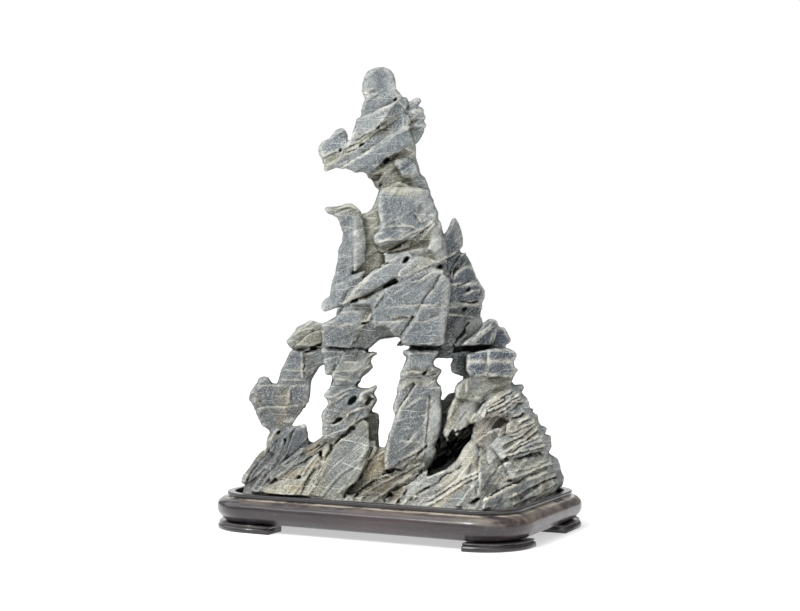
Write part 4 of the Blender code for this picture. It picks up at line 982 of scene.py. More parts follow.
def sculpt(mesh):
    """Weathers the fused skin: worn arrises, flat facets, leaning beds, drawn ledges, cracks and pits."""
    points = places_of(mesh)
    x, y, near = on_sheet(points)
    # Where the low slabs flow smoothly, and where the slabs of the right flank lie.
    flow = rise(420.0, 440.0, x) * rise(512.0, 500.0, x) * rise(425.0, 440.0, y)
    flow = np.maximum(flow, 0.6 * rise(350.0, 320.0, x) * rise(424.0, 440.0, y))
    flank = rise(458.0, 476.0, x) * rise(378.0, 396.0, y)
    points = worn_smooth(points, edge_ends(mesh), x, y, flow, flank)
    put_places(mesh, points)
    points = broken_flat(points, normals_of(mesh), x, y, near, flow)
    put_places(mesh, points)
    points = stepped(points, normals_of(mesh), x, y, near, flank)
    put_places(mesh, points)
    points = opened_up(points, normals_of(mesh), x, y)
    put_places(mesh, points)
    put_places(mesh, seated(points, normals_of(mesh)))


# The tones that differ from the common blue-grey: how strongly each colours whole chunks, and which.
# Black and dim are painted shade, and dark is partly painted shade.
TONES = {
    "brick": (1.0, ("peak_block_1", "peak_block_2", "peak_block_3", "peak_block_4", "right_wing",
              "right_boss_2", "right_boss_3", "right_wing_tip")),
    # Painted shade in the deep cavity and the joint's far gap.
    "black": (1.0, ("cavity_wall", "joint_far_right")),
    # Partly darker stone, partly painted shade on the chunks turned away from the light and in recesses.
    "dark": (1.0, ("right_boss_1", "right_boss_2", "right_boss_3", "right_boss_4", "right_boss_5",
              "fin_back", "right_wing", "right_wing_tip", "joint_far_right", "peak_stub", "peak_shadow_slab",
              "cavity_wall", "joint_right")),
    "slate": (0.4, ("crown_shoulder", "beak_slab_lower", "beak_knob", "column_left", "second_shaft",
              "step_1", "step_2", "step_3", "step_7", "step_8", "arch_right", "flag", "chest")),
    "olive": (0.6, ("under_chin", "left_saddle", "column_back", "neck", "left_wing", "horn", "pocket_floor",
              "peak_waist", "second_foot", "middle_saddle", "second_root", "joint_left", "knuckle", "step_4",
              "brow_root", "front_slab_1", "left_slab_4", "left_slab_3")),
    "pale": (0.35, ("peak_white_slab", "fin_front", "shoulder_right", "peak_knob", "peak_flow", "chin_slab",
              "column_right", "peak_chest", "front_slab_2", "front_slab_4", "rolled_slab_right")),
    "umber": (0.0, ()),
    "tan": (0.0, ()),
    "ivory": (0.0, ()),
    "rose": (0.0, ()),
    "dim": (0.0, ()),
}

# Patches of each tone on the faces: strength and outline on the sheet.
PATCHES = {
    # Painted shade: black in the cavities, the joint gaps and the clefts between the right bosses.
    "black": [
        (0.8, [(450, 277), (453, 268), (460, 257), (463, 256), (459, 264), (453, 278)]),
        (0.8, [(460, 306), (470, 307), (469, 313), (461, 312)]),
        (0.9, [(452, 346), (457, 336), (465, 327), (470, 321), (470, 328), (465, 337), (461, 344)]),
        (0.9, [(457, 354), (466, 353), (466, 370), (458, 371), (455, 362)]),
        (0.7, [(368, 396), (376, 392), (375, 400), (366, 408)]),
        (1.0, [(451, 346), (470, 345), (495, 343), (495, 349), (470, 353), (451, 352)]),
        (0.7, [(451, 353), (469, 352), (471, 366), (465, 378), (453, 373)]),
        (1.0, [(438, 448), (446, 430), (470, 424), (456, 444), (446, 462), (430, 474), (426, 474)]),
    ],
    # Partly darker stone, partly painted shade, as on the fin's shaded face.
    "dark": [
        (0.45, [(395, 166), (403, 157), (412, 162), (411, 173), (401, 179)]),
        (0.9, [(442, 236), (446, 227), (451, 219), (455, 234), (453, 250), (446, 257), (441, 248)]),
        (0.32, [(249, 478), (258, 460), (268, 446), (284, 430), (306, 428), (314, 440), (300, 456),
         (286, 468), (268, 480)]),
        (0.14, [(262, 350), (304, 350), (309, 386), (304, 408), (288, 428), (270, 428), (250, 404)]),
        (0.12, [(326, 326), (374, 326), (374, 380), (332, 380)]),
        (0.25, [(362, 500), (370, 482), (380, 470), (404, 470), (424, 458), (412, 478), (396, 490),
         (386, 504)]),
    ],
    "slate": [
        (0.6, [(371, 69), (388, 68), (387, 92), (380, 94), (377, 84), (373, 76)]),
        (0.6, [(362, 114), (366, 107), (386, 106), (372, 113)]),
        (0.8, [(393, 115), (396, 106), (402, 100), (405, 102), (401, 112)]),
        (1.0, [(391, 124), (403, 114), (404, 124), (392, 129)]),
        (0.8, [(389, 138), (391, 131), (408, 126), (409, 130)]),
        (0.5, [(350, 165), (352, 160), (370, 150), (392, 138), (409, 128), (411, 140), (390, 154),
         (372, 171)]),
        (1.0, [(397, 166), (403, 158), (411, 163), (409, 172), (401, 177)]),
        (0.35, [(381, 197), (398, 196), (412, 201), (418, 209), (421, 221), (414, 229), (382, 230)]),
        (0.8, [(376, 237), (383, 230), (420, 229), (417, 236), (400, 240), (379, 244)]),
        (0.6, [(339, 244), (348, 240), (349, 276), (338, 290), (336, 280)]),
        (0.3, [(384, 304), (400, 284), (430, 274), (439, 275), (428, 290), (418, 302), (398, 306)]),
        (0.3, [(376, 317), (382, 308), (420, 306), (409, 317), (390, 317)]),
        (0.7, [(323, 343), (330, 330), (341, 326), (345, 338), (342, 346), (328, 347)]),
        (0.6, [(409, 337), (418, 322), (432, 319), (427, 334), (414, 341)]),
        (0.7, [(262, 388), (279, 388), (277, 405), (262, 405)]),
        (0.8, [(292, 388), (308, 388), (307, 401), (298, 405), (291, 404)]),
        (0.5, [(257, 409), (274, 409), (273, 426), (264, 425)]),
        (0.5, [(288, 353), (303, 353), (302, 371), (285, 371)]),
        (0.35, [(249, 388), (300, 388), (306, 405), (290, 424), (284, 432), (268, 430), (252, 408)]),
        (0.6, [(324, 482), (332, 452), (348, 432), (366, 428), (372, 446), (358, 470), (344, 490),
         (328, 492)]),
        (0.8, [(286, 434), (290, 428), (303, 426), (304, 440), (292, 449), (284, 446)]),
        (0.6, [(252, 474), (258, 462), (264, 466), (262, 472)]),
        (0.6, [(266, 480), (276, 464), (292, 454), (308, 452), (298, 462), (284, 474)]),
        (0.55, [(385, 467), (391, 450), (397, 432), (400, 416), (410, 400), (419, 386), (429, 384),
         (428, 404), (424, 420), (422, 449), (404, 458), (394, 467)]),
        (1.0, [(470, 380), (481, 380), (481, 385), (471, 386)]),
        (0.8, [(500, 399), (510, 392), (521, 386), (520, 394), (508, 400)]),
        (0.7, [(508, 408), (516, 402), (526, 399), (526, 408), (514, 412)]),
        (0.8, [(520, 425), (523, 421), (531, 418), (527, 424), (519, 431)]),
        (0.9, [(516, 453), (530, 442), (541, 436), (546, 446), (530, 450)]),
        (0.8, [(508, 492), (520, 484), (536, 477), (551, 470), (558, 478), (545, 489), (528, 501),
         (511, 502)]),
        (1.0, [(247, 482), (256, 462), (268, 448), (284, 430), (306, 428), (322, 446), (308, 460),
         (292, 470), (276, 482), (260, 492)]),
        (0.9, [(486, 508), (490, 500), (500, 495), (501, 508)]),
        (0.8, [(474, 456), (476, 443), (480, 442), (482, 456)]),
        (0.8, [(479, 491), (480, 476), (488, 472), (486, 482), (483, 490)]),
        (0.6, [(412, 504), (420, 492), (434, 487), (452, 489), (436, 500)]),
    ],
    "olive": [
        (0.9, [(324, 158), (341, 150), (352, 145), (370, 133), (374, 135), (356, 148), (343, 160),
         (326, 171)]),
        (0.8, [(382, 185), (394, 178), (411, 176), (413, 184), (398, 182), (386, 190)]),
        (0.8, [(451, 285), (464, 287), (466, 300), (452, 303)]),
        (0.6, [(410, 264), (426, 256), (448, 256), (430, 268), (412, 274)]),
        (0.8, [(290, 345), (302, 336), (314, 329), (324, 330), (323, 340), (304, 348)]),
        (0.6, [(322, 478), (330, 462), (348, 476), (340, 494), (320, 494)]),
        (0.9, [(303, 495), (312, 478), (325, 462), (322, 480), (318, 496)]),
        (0.9, [(444, 434), (449, 414), (456, 398), (462, 398), (456, 414), (451, 432)]),
        (0.8, [(467, 398), (469, 389), (480, 387), (480, 398)]),
        (0.9, [(510, 470), (512, 460), (541, 457), (541, 466), (522, 471)]),
    ],
    "pale": [
        (0.2, [(365, 75), (371, 71), (376, 80), (378, 90), (366, 95)]),
        (0.35, [(388, 70), (394, 76), (397, 89), (401, 98), (388, 97), (386, 84)]),
        (0.2, [(360, 135), (361, 121), (372, 113), (391, 106), (383, 118), (377, 127), (368, 131)]),
        (0.5, [(410, 186), (422, 190), (432, 206), (437, 216), (428, 214), (418, 200)]),
        (0.7, [(414, 198), (422, 190), (432, 204), (437, 213), (434, 219), (421, 222), (416, 208)]),
        (0.5, [(350, 222), (357, 221), (358, 262), (346, 276), (348, 240)]),
        (0.35, [(359, 228), (374, 226), (380, 250), (376, 266), (357, 268)]),
        (0.9, [(361, 215), (376, 205), (380, 192), (381, 228), (374, 238), (364, 242)]),
        (0.9, [(375, 245), (379, 249), (381, 262), (376, 268), (371, 266), (377, 257)]),
        (1.0, [(425, 248), (432, 233), (440, 222), (439, 240), (432, 250)]),
        (0.4, [(455, 222), (459, 228), (463, 244), (459, 250), (454, 238)]),
        (0.6, [(452, 274), (460, 268), (466, 266), (465, 282), (455, 283)]),
        (0.6, [(469, 286), (473, 281), (480, 283), (483, 290), (470, 291)]),
        (0.6, [(450, 301), (480, 300), (481, 306), (452, 307)]),
        (0.7, [(468, 318), (481, 317), (482, 322), (476, 332), (470, 338), (468, 328)]),
        (0.4, [(455, 322), (462, 319), (463, 328), (456, 338)]),
        (1.0, [(424, 276), (430, 269), (438, 265), (445, 270), (446, 279), (439, 272), (428, 277)]),
        (1.0, [(438, 343), (439, 318), (442, 284), (448, 279), (449, 300), (444, 343)]),
        (0.6, [(342, 362), (366, 361), (368, 366), (358, 372), (338, 370)]),
        (0.8, [(429, 402), (439, 396), (441, 410), (438, 430), (430, 451), (425, 452), (425, 430)]),
        (1.0, [(452, 431), (459, 411), (463, 400), (480, 399), (471, 414), (458, 428)]),
        (1.0, [(500, 507), (501, 493), (508, 490), (509, 506)]),
        (0.2, [(478, 434), (505, 430), (540, 426), (550, 444), (560, 462), (562, 480), (540, 498),
         (510, 506), (482, 506), (474, 470)]),
        (0.4, [(455, 398), (484, 398), (476, 412), (462, 430), (452, 430)]),
        (0.6, [(482, 462), (492, 440), (505, 436), (504, 452), (494, 462)]),
    ],
    "umber": [
        (0.9, [(376, 167), (386, 158), (400, 153), (392, 162), (382, 170)]),
        (0.8, [(367, 176), (380, 171), (385, 175), (379, 186), (372, 181)]),
        (0.8, [(378, 247), (400, 242), (424, 236), (424, 244), (400, 251), (382, 252)]),
        (0.9, [(361, 319), (364, 314), (374, 308), (372, 318), (366, 325), (360, 323)]),
        (0.3, [(290, 346), (300, 332), (324, 326), (350, 322), (362, 326), (356, 346)]),
        (0.4, [(262, 386), (309, 386), (304, 408), (288, 428), (270, 428), (258, 408)]),
        (0.3, [(328, 352), (374, 352), (366, 380), (332, 380)]),
        (0.5, [(354, 345), (363, 333), (376, 323), (398, 328), (401, 338), (378, 343), (366, 348)]),
        (1.0, [(303, 352), (315, 352), (317, 364), (310, 380), (304, 380)]),
        (0.7, [(365, 366), (377, 355), (370, 372), (360, 379), (356, 384), (360, 374)]),
        (0.8, [(362, 396), (377, 388), (376, 400), (367, 414), (362, 404)]),
        (0.8, [(364, 420), (379, 413), (379, 448), (370, 440), (366, 432)]),
        (0.8, [(303, 430), (307, 430), (309, 441), (302, 448), (298, 446)]),
        (0.7, [(354, 492), (368, 480), (384, 473), (378, 480), (366, 489), (358, 497)]),
        (0.7, [(385, 470), (400, 462), (422, 451), (428, 458), (410, 468), (396, 473)]),
        (0.8, [(401, 377), (410, 368), (430, 368), (436, 374), (420, 377)]),
        (0.9, [(491, 424), (495, 414), (504, 415), (509, 420), (500, 425)]),
        (0.2, [(244, 493), (250, 470), (270, 446), (296, 428), (316, 448), (332, 446), (326, 497)]),
        (0.9, [(350, 499), (364, 470), (374, 452), (384, 470), (400, 474), (404, 504), (370, 502)]),
        (0.8, [(467, 462), (470, 455), (476, 456), (477, 461)]),
    ],
    "tan": [
        (0.35, [(280, 388), (290, 388), (289, 406), (284, 426), (276, 426)]),
        (0.3, [(251, 398), (256, 390), (261, 392), (261, 406), (254, 406)]),
        (0.8, [(306, 448), (320, 439), (324, 447), (314, 456), (305, 455)]),
        (0.7, [(305, 468), (316, 457), (324, 450), (327, 456), (312, 468), (304, 474)]),
        (0.6, [(364, 461), (376, 449), (387, 451), (385, 468), (372, 478), (364, 480)]),
        (0.8, [(490, 400), (498, 393), (507, 391), (505, 396), (494, 405)]),
        (0.8, [(430, 507), (446, 495), (460, 485), (474, 477), (462, 486), (448, 498), (440, 508)]),
    ],
    "ivory": [
        (0.5, [(382, 192), (398, 183), (413, 187), (421, 193), (412, 198), (396, 196)]),
        (0.5, [(480, 335), (491, 323), (495, 324), (484, 336), (474, 344)]),
        (0.6, [(486, 358), (512, 357), (512, 362), (487, 363)]),
        (0.6, [(484, 362), (489, 362), (489, 376), (485, 376)]),
        (0.3, [(264, 491), (280, 482), (298, 481), (294, 497), (272, 497)]),
        (0.5, [(402, 380), (434, 379), (435, 384), (414, 385), (402, 390)]),
        (0.4, [(456, 460), (466, 446), (474, 440), (474, 462), (462, 480), (444, 490), (432, 494)]),
    ],
    "rose": [
        (1.0, [(482, 420), (489, 411), (500, 411), (513, 417), (517, 427), (508, 430), (494, 428)]),
    ],
    # Painted shade, laid on last and darkening towards black.
    "dim": [
        (0.3, [(244, 484), (254, 460), (276, 438), (306, 426), (326, 444), (306, 462), (284, 474),
         (266, 488)]),
        (0.28, [(360, 502), (366, 482), (384, 470), (404, 466), (426, 455), (418, 476), (400, 490),
         (392, 506)]),
        (0.17, [(246, 386), (282, 350), (304, 350), (312, 386), (304, 408), (288, 428), (268, 430),
         (250, 404)]),
        (0.12, [(330, 206), (362, 206), (362, 300), (330, 306)]),
        (0.13, [(345, 300), (400, 270), (448, 262), (448, 345), (345, 345)]),
        (0.12, [(288, 326), (345, 320), (345, 348), (288, 348)]),
    ],
}


def chunk_map(x, y, near):
    """The chunk whose near face each point lies on, or -1, and how far it is from the closest chunk edge."""
    owner = np.full(len(x), -1)
    beside = np.full(len(x), 7.0)
    edge = np.full(len(x), 20.0)
    for index, chunk in enumerate(CHUNKS):
        outline = chunk[5]
        around = around_outline(x, y, outline, 9.0)
        gap = np.abs(near_depth(chunk, x[around], y[around]) - near[around])
        aside = from_line(x[around], y[around], outline + outline[:1])
        edge[around] = np.minimum(edge[around], np.hypot(aside, gap))
        found = inside_outline(x[around], y[around], outline) & (gap < beside[around])
        owner[around[found]] = index
        beside[around[found]] = gap[found]
    return owner, edge


def patch_mask(x, y, outline):
    """1 inside the outline, 0 outside, fading over a ragged edge."""
    mask = np.zeros(len(x))
    near_by = around_outline(x, y, outline, 5.0)
    away = from_line(x[near_by], y[near_by], outline + outline[:1])
    inside = inside_outline(x[near_by], y[near_by], outline)
    mask[near_by] = rise(-2.8, 2.8, np.where(inside, away, -away))
    return mask


def add_values(mesh, name, values):
    """Stores a value for each vertex, for the materials to read."""
    layer = mesh.attributes.new(name, "FLOAT", "POINT")
    layer.data.foreach_set("value", np.ascontiguousarray(values, dtype=np.float32))


def add_relief(mesh, points, normals, ends):
    """How far each vertex stands out of its surroundings, near and far, in millimetres."""
    for name, rounds in (("fine_relief", 2), ("edge_relief", 10), ("broad_relief", 40)):
        around = spread_points(points, ends, rounds)
        add_values(mesh, name, np.einsum("ij,ij->i", points - around, normals))


def describe_surface(mesh):
    """Per-vertex values that the stone's colours follow."""
    points = places_of(mesh)
    normals = normals_of(mesh)
    x, y, near = on_sheet(points)
    ends = edge_ends(mesh)
    add_relief(mesh, points, normals, ends)
    pits = pit_depth(points, x, y, normals, 0.6) / 9.0
    add_values(mesh, "crack", np.maximum(crack_depth(points, x, y, 0.7) / 3.4, pits))

    ribbed = ribbing(points, x, y)
    # Lips of ledges and beds are paled, partly as painted highlight; their feet are darkened as painted
    # shade under the overhangs.
    _, lip, foot = ledge_faces(points, x, y)
    for layer, share in ((BEDS, 0.4), (RIBS, 0.15)):
        _, over_foot, under_top, opened, above = beds(points, x, y, near, *layer)
        amount = share + (0.85 - share) * ribbed
        lip = np.maximum(lip, 0.6 * amount * opened * bump_at(over_foot, 0.9, 0.6))
        foot = np.maximum(foot, (0.7 - 0.25 * ribbed) * amount * above * bump_at(under_top, 0.0, 0.8))
    # The fine ribs, which come last above, also darken the faces between them on the right flank.
    flank = ribbed * rise(466.0, 486.0, x) * rise(384.0, 398.0, y)
    rib_faces = 0.65 * flank * opened * rise(0.2, 0.55, over_foot / RIBS[0])
    left_base = np.maximum(rise(400.0, 360.0, x) * rise(418.0, 436.0, y), rise(190.0, 170.0, y))
    add_values(mesh, "bedding", bed_height(points, x, y, near))
    add_values(mesh, "lip", lip * (1.0 - 0.4 * left_base) * (1.0 + 0.25 * flank))
    add_values(mesh, "foot", foot * (1.0 - 0.3 * left_base))
    add_values(mesh, "low", rise(180.0, 90.0, points[:, 2]))

    owner, edge = chunk_map(x, y, near)
    worn = edge + 0.8 * lumps(points, 7.0, 61)
    add_values(mesh, "rind", 1.0 - rise(1.0, 3.4, worn))
    ragged_x = x + 1.4 * lumps(points, 8.0, 63) + 0.8 * lumps(points, 3.2, 64)
    ragged_y = y + 1.4 * lumps(points, 8.0, 65) + 0.8 * lumps(points, 3.2, 66)
    front = rise(-0.45, 0.05, normals @ TOWARDS_EYE)
    names = [chunk[0] for chunk in CHUNKS] + ["none"]
    for number, (tone, (share, members)) in enumerate(TONES.items()):
        belongs = np.array([name in members for name in names])[owner]
        amount = share * spread(belongs.astype(float), ends, len(points), 3)
        for strength, outline in PATCHES.get(tone, ()):
            amount = np.maximum(amount, front * strength * patch_mask(ragged_x, ragged_y, outline))
        if tone in ("slate", "olive", "pale", "umber"):
            behind = rise(0.1, 0.45, lumps(points, 24.0, 70 + number)) * (1.0 - front)
            amount = np.maximum(amount, 0.7 * behind)
        if tone == "slate":
            amount = np.maximum(amount, rib_faces)
        add_values(mesh, tone, amount)


# The Mix node's sockets are told apart by number, as those of each kind of data share their names.
MIX_FACTOR = 0
MIX_VECTORS = (4, 5)
MIX_VECTOR_RESULT = 1
MIX_COLOURS = (6, 7)
MIX_COLOUR_RESULT = 2


class MaterialKit:
    """A material, and the kinds of node that its patterns are made of, all in Object coordinates."""

    def __init__(self, name):
        self.material = bpy.data.materials.new(name)
        self.material.use_nodes = True
        self.nodes = self.material.node_tree.nodes
        self.shader = self.nodes["Principled BSDF"]
        self.place = self.nodes.new("ShaderNodeTexCoord").outputs["Object"]

    def feed(self, node, inputs):
        """Links other nodes' outputs to the node's inputs, or sets these to numbers, vectors or colours."""
        for name, item in inputs.items():
            socket = node.inputs[name]
            if isinstance(item, bpy.types.NodeSocket):
                self.material.node_tree.links.new(item, socket)
            else:
                socket.default_value = (*item, 1.0) if socket.type == "RGBA" else item

    def node(self, kind, inputs, **settings):
        """A new node with its settings and inputs."""
        node = self.nodes.new("ShaderNode" + kind)
        for name, setting in settings.items():
            setattr(node, name, setting)
        self.feed(node, inputs)
        return node

    def value(self, name):
        """A value stored on the vertices."""
        return self.node("Attribute", {}, attribute_name=name).outputs["Fac"]

    def stretched(self, stretch, source=None):
        """Places scaled along the three axes."""
        return self.node("Mapping", {"Vector": source or self.place, "Scale": stretch}).outputs["Vector"]

    def noise(self, scale, detail, rough=0.5, source=None):
        """Cloudy noise from 0 to 1."""
        inputs = {"Vector": source or self.place, "Scale": scale, "Detail": detail, "Roughness": rough}
        return self.node("TexNoise", inputs).outputs["Fac"]

    def ramp(self, source, low, high, low_value=0.0, high_value=1.0):
        """A smooth slope from low_value at low to high_value at high."""
        inputs = {"Value": source, "From Min": low, "From Max": high,
                  "To Min": low_value, "To Max": high_value}
        return self.node("MapRange", inputs, interpolation_type="SMOOTHSTEP").outputs["Result"]

    def sum_of(self, operation, first, second):
        """One step of arithmetic."""
        return self.node("Math", {0: first, 1: second}, operation=operation).outputs["Value"]

    def times(self, first, second):
        """One value scaled by the other."""
        return self.sum_of("MULTIPLY", first, second)

    def plus(self, first, second):
        """Both values together."""
        return self.sum_of("ADD", first, second)

    def blend(self, factor, first, second, kind="MIX"):
        """The first colour with the second laid over it."""
        inputs = {MIX_FACTOR: factor, MIX_COLOURS[0]: first, MIX_COLOURS[1]: second}
        return self.node("Mix", inputs, data_type="RGBA", blend_type=kind).outputs[MIX_COLOUR_RESULT]

    def rough_up(self, height, strength, distance):
        """Fine bumps that only catch the light."""
        bump = self.node("Bump", {"Height": height, "Strength": strength, "Distance": distance})
        self.feed(self.shader, {"Normal": bump.outputs["Normal"]})


# The stone's colours, and those of its tones in the order in which they are laid on.
BLUE_GREY = (0.150, 0.168, 0.180)
LIGHT_GREY = (0.222, 0.238, 0.246)
MOTTLED_GREY = (0.34, 0.36, 0.36)
# Olive cream for the broad hollows, partly patina and partly painted shade.
HOLLOW_CREAM = (0.185, 0.178, 0.130)
LOW_STAIN = (0.122, 0.116, 0.092)
TONE_SHADES = (
    # Dark is partly painted shade.
    ("dark", (0.050, 0.060, 0.070)),
    ("pale", (0.460, 0.465, 0.440)),
    ("olive", (0.215, 0.205, 0.145)),
    ("umber", (0.100, 0.088, 0.060)),
    ("slate", (0.134, 0.152, 0.170)),
    ("tan", (0.360, 0.300, 0.195)),
    ("ivory", (0.560, 0.530, 0.420)),
    ("rose", (0.175, 0.145, 0.128)),
)
BRICK_RIND = (0.48, 0.48, 0.43)
BRICK_CORE = (0.066, 0.080, 0.110)
PALE_BED = (0.56, 0.56, 0.50)
DARK_BED = (0.060, 0.064, 0.062)
WHITE_GRAIN = (0.62, 0.64, 0.63)
DARK_GRAIN = (0.040, 0.046, 0.052)
# Pale edges and ridges: partly rubbed stone, partly painted highlight.
WORN_EDGE_AND_HIGHLIGHT = (0.50, 0.50, 0.455)
# Painted shade for the creases.
CREASE_SHADE = (0.062, 0.060, 0.046)
RIDGE_WHITE_AND_HIGHLIGHT = (0.54, 0.54, 0.50)
# Ledge lips: partly pale crests, partly painted highlight.
LEDGE_LIP_AND_HIGHLIGHT = (0.66, 0.64, 0.56)
RUST_BROWN = (0.28, 0.215, 0.135)
WHITE_SEAM = (0.66, 0.66, 0.63)
WHITE_THREAD = (0.64, 0.64, 0.60)
# Near-black for the cracks and pits, and for painted shade.
CRACK_AND_SHADE_BLACK = (0.014, 0.014, 0.013)
# For the painted shade of the dim patches.
BLACK = (0.0, 0.0, 0.0)


def stone_ground(stone):
    """Mottled blue-grey, cream hollows and tone patches that are partly painted shade, a stained foot, and
    the dark bricks.
    """
    broad = stone.ramp(stone.noise(26.0, 4.0, 0.6), 0.34, 0.66)
    mottle = stone.ramp(stone.noise(150.0, 5.0, 0.7), 0.36, 0.64)
    colour = stone.blend(broad, BLUE_GREY, LIGHT_GREY)
    colour = stone.blend(stone.times(mottle, 0.35), colour, MOTTLED_GREY)
    # Cream in the broad hollows, partly patina and partly painted shade.
    hollow = stone.ramp(stone.times(stone.value("broad_relief"), -1.0), 0.2, 3.0)
    hollow = stone.times(hollow, stone.ramp(stone.noise(70.0, 5.0, 0.65), 0.28, 0.66, 0.35, 0.95))
    colour = stone.blend(hollow, colour, HOLLOW_CREAM)
    stain = stone.ramp(stone.noise(33.0, 5.0, 0.65), 0.30, 0.62, 0.05, 0.65)
    colour = stone.blend(stone.times(stone.value("low"), stain), colour, LOW_STAIN)
    patchy = stone.ramp(stone.noise(85.0, 5.0, 0.7), 0.30, 0.62, 0.45, 1.0)
    for tone, shade in TONE_SHADES:
        colour = stone.blend(stone.times(stone.value(tone), patchy), colour, shade)
    brick = stone.value("brick")
    rind = stone.value("rind")
    worn = stone.ramp(stone.noise(80.0, 4.0, 0.7), 0.3, 0.6, 0.3, 1.0)
    colour = stone.blend(stone.times(stone.times(rind, brick), worn), colour, BRICK_RIND)
    core = stone.times(brick, stone.sum_of("SUBTRACT", 1.0, rind))
    return stone.blend(stone.times(core, 0.85), colour, BRICK_CORE)


def stone_beds(stone, colour, axes):
    """Pale and dark streaks that run with the beds."""
    sheet = stone.node("CombineXYZ", {"X": stone.times(stone.value("bedding"), 0.85),
                                      "Y": stone.times(axes["X"], 28.0), "Z": stone.times(axes["Y"], 28.0)})
    streak = stone.noise(1.0, 3.0, 0.6, sheet.outputs["Vector"])
    streaked = stone.ramp(stone.noise(24.0, 4.0, 0.6), 0.42, 0.60, 0.15, 1.0)
    for low, high, shade in ((0.54, 0.66, PALE_BED), (0.46, 0.34, DARK_BED)):
        cover = stone.times(stone.ramp(streak, low, high), streaked)
        colour = stone.blend(stone.times(cover, 0.42), colour, shade)
    return colour


def stone_grain(stone, colour):
    """White and dark grains, as of coarse salt and pepper."""
    grain = stone.noise(640.0, 4.0, 0.85)
    coarse = stone.ramp(stone.noise(30.0, 3.0), 0.40, 0.62, 0.6, 1.0)
    for low, high, strength, shade in ((0.53, 0.63, 0.62, WHITE_GRAIN), (0.49, 0.38, 0.70, DARK_GRAIN)):
        cover = stone.times(stone.ramp(grain, low, high), stone.times(coarse, strength))
        colour = stone.blend(cover, colour, shade)
    return colour


def stone_edges(stone, colour):
    """Pale edges and lips, partly rubbed and partly painted highlight, painted shade beside them, and rusty
    brown low down.
    """
    edge = stone.value("edge_relief")
    # Paler on convex edges, partly rubbed wear and partly painted highlight.
    colour = stone.blend(stone.times(stone.ramp(edge, 0.5, 2.2), 0.14), colour, WORN_EDGE_AND_HIGHLIGHT)
    # Painted shade: darker in the creases beside the edges.
    sunk = stone.ramp(stone.times(edge, -1.0), 0.25, 1.8)
    colour = stone.blend(stone.times(sunk, 0.6), colour, CREASE_SHADE)
    # Whiter on fine ridges, partly pale stone and partly painted highlight.
    uneven = stone.ramp(stone.noise(160.0, 4.0, 0.7), 0.3, 0.7, -0.12, 0.12)
    ridge = stone.ramp(stone.plus(stone.value("fine_relief"), uneven), 0.25, 1.0)
    colour = stone.blend(stone.times(ridge, 0.36), colour, RIDGE_WHITE_AND_HIGHLIGHT)
    # Cream lips on the ledges and beds: partly pale crests, partly painted highlight.
    crest = stone.ramp(stone.noise(55.0, 4.0), 0.34, 0.58, 0.2, 0.85)
    colour = stone.blend(stone.times(stone.value("lip"), crest), colour, LEDGE_LIP_AND_HIGHLIGHT)
    brown = stone.times(stone.ramp(stone.noise(17.0, 5.0, 0.6), 0.52, 0.68),
                        stone.ramp(stone.noise(90.0, 4.0), 0.4, 0.62))
    return stone.blend(stone.times(stone.times(brown, stone.value("low")), 0.4), colour, RUST_BROWN)


def stone_veins(stone, colour, axes):
    """Level white seams, and a web of thin crossing threads that the dark chunks nearly lack."""
    calm = stone.sum_of("SUBTRACT", 1.0, stone.times(stone.value("dark"), 0.75))
    seam = stone.plus(stone.times(axes["Z"], 92.0), stone.noise(18.0, 2.0))
    seam = stone.sum_of("ABSOLUTE", stone.sum_of("SUBTRACT", stone.sum_of("FRACT", seam, 0.0), 0.5), 0.0)
    seam = stone.times(stone.ramp(seam, 0.030, 0.004), stone.ramp(stone.noise(14.0, 3.0), 0.50, 0.58))
    colour = stone.blend(stone.times(stone.times(seam, calm), 0.45), colour, WHITE_SEAM)
    scatter = stone.node("TexNoise", {"Vector": stone.place, "Scale": 30.0}).outputs["Color"]
    bent = {MIX_FACTOR: 0.012, MIX_VECTORS[0]: stone.place, MIX_VECTORS[1]: scatter}
    bend = stone.node("Mix", bent, data_type="VECTOR").outputs[MIX_VECTOR_RESULT]
    for stretch, scale, width, cover, strength in (
        ((0.45, 0.45, 4.0), 15.0, 0.018, 0.50, 0.6),
        ((1.0, 1.0, 1.4), 24.0, 0.010, 0.53, 0.5),
    ):
        cells = {"Vector": stone.stretched(stretch, bend), "Scale": scale}
        web = stone.node("TexVoronoi", cells, feature="DISTANCE_TO_EDGE")
        thread = stone.ramp(web.outputs["Distance"], width, 0.0)
        thread = stone.times(thread, stone.ramp(stone.noise(40.0 + scale, 3.0), cover - 0.08, cover + 0.1))
        thread = stone.times(thread, calm)
        colour = stone.blend(stone.times(thread, strength), colour, WHITE_THREAD)
    return colour


def stone_cracks(stone, colour):
    """Near-black cracks and pits, and painted shade in fine creases, at the ledges' feet, in the black
    cavities and dim patches.
    """
    # Painted shade: fine creases, the feet of the ledges and the black tone darken along with the cracks and
    # pits.
    deep = stone.plus(stone.times(stone.value("fine_relief"), -0.6), stone.value("crack"))
    deep = stone.plus(deep, stone.times(stone.value("foot"), 0.74))
    deep = stone.plus(deep, stone.times(stone.value("black"), 0.95))
    colour = stone.blend(stone.times(stone.ramp(deep, 0.35, 1.3), 0.93), colour, CRACK_AND_SHADE_BLACK)
    # Painted shade: the dim patches darken towards black.
    return stone.blend(stone.value("dim"), colour, BLACK)


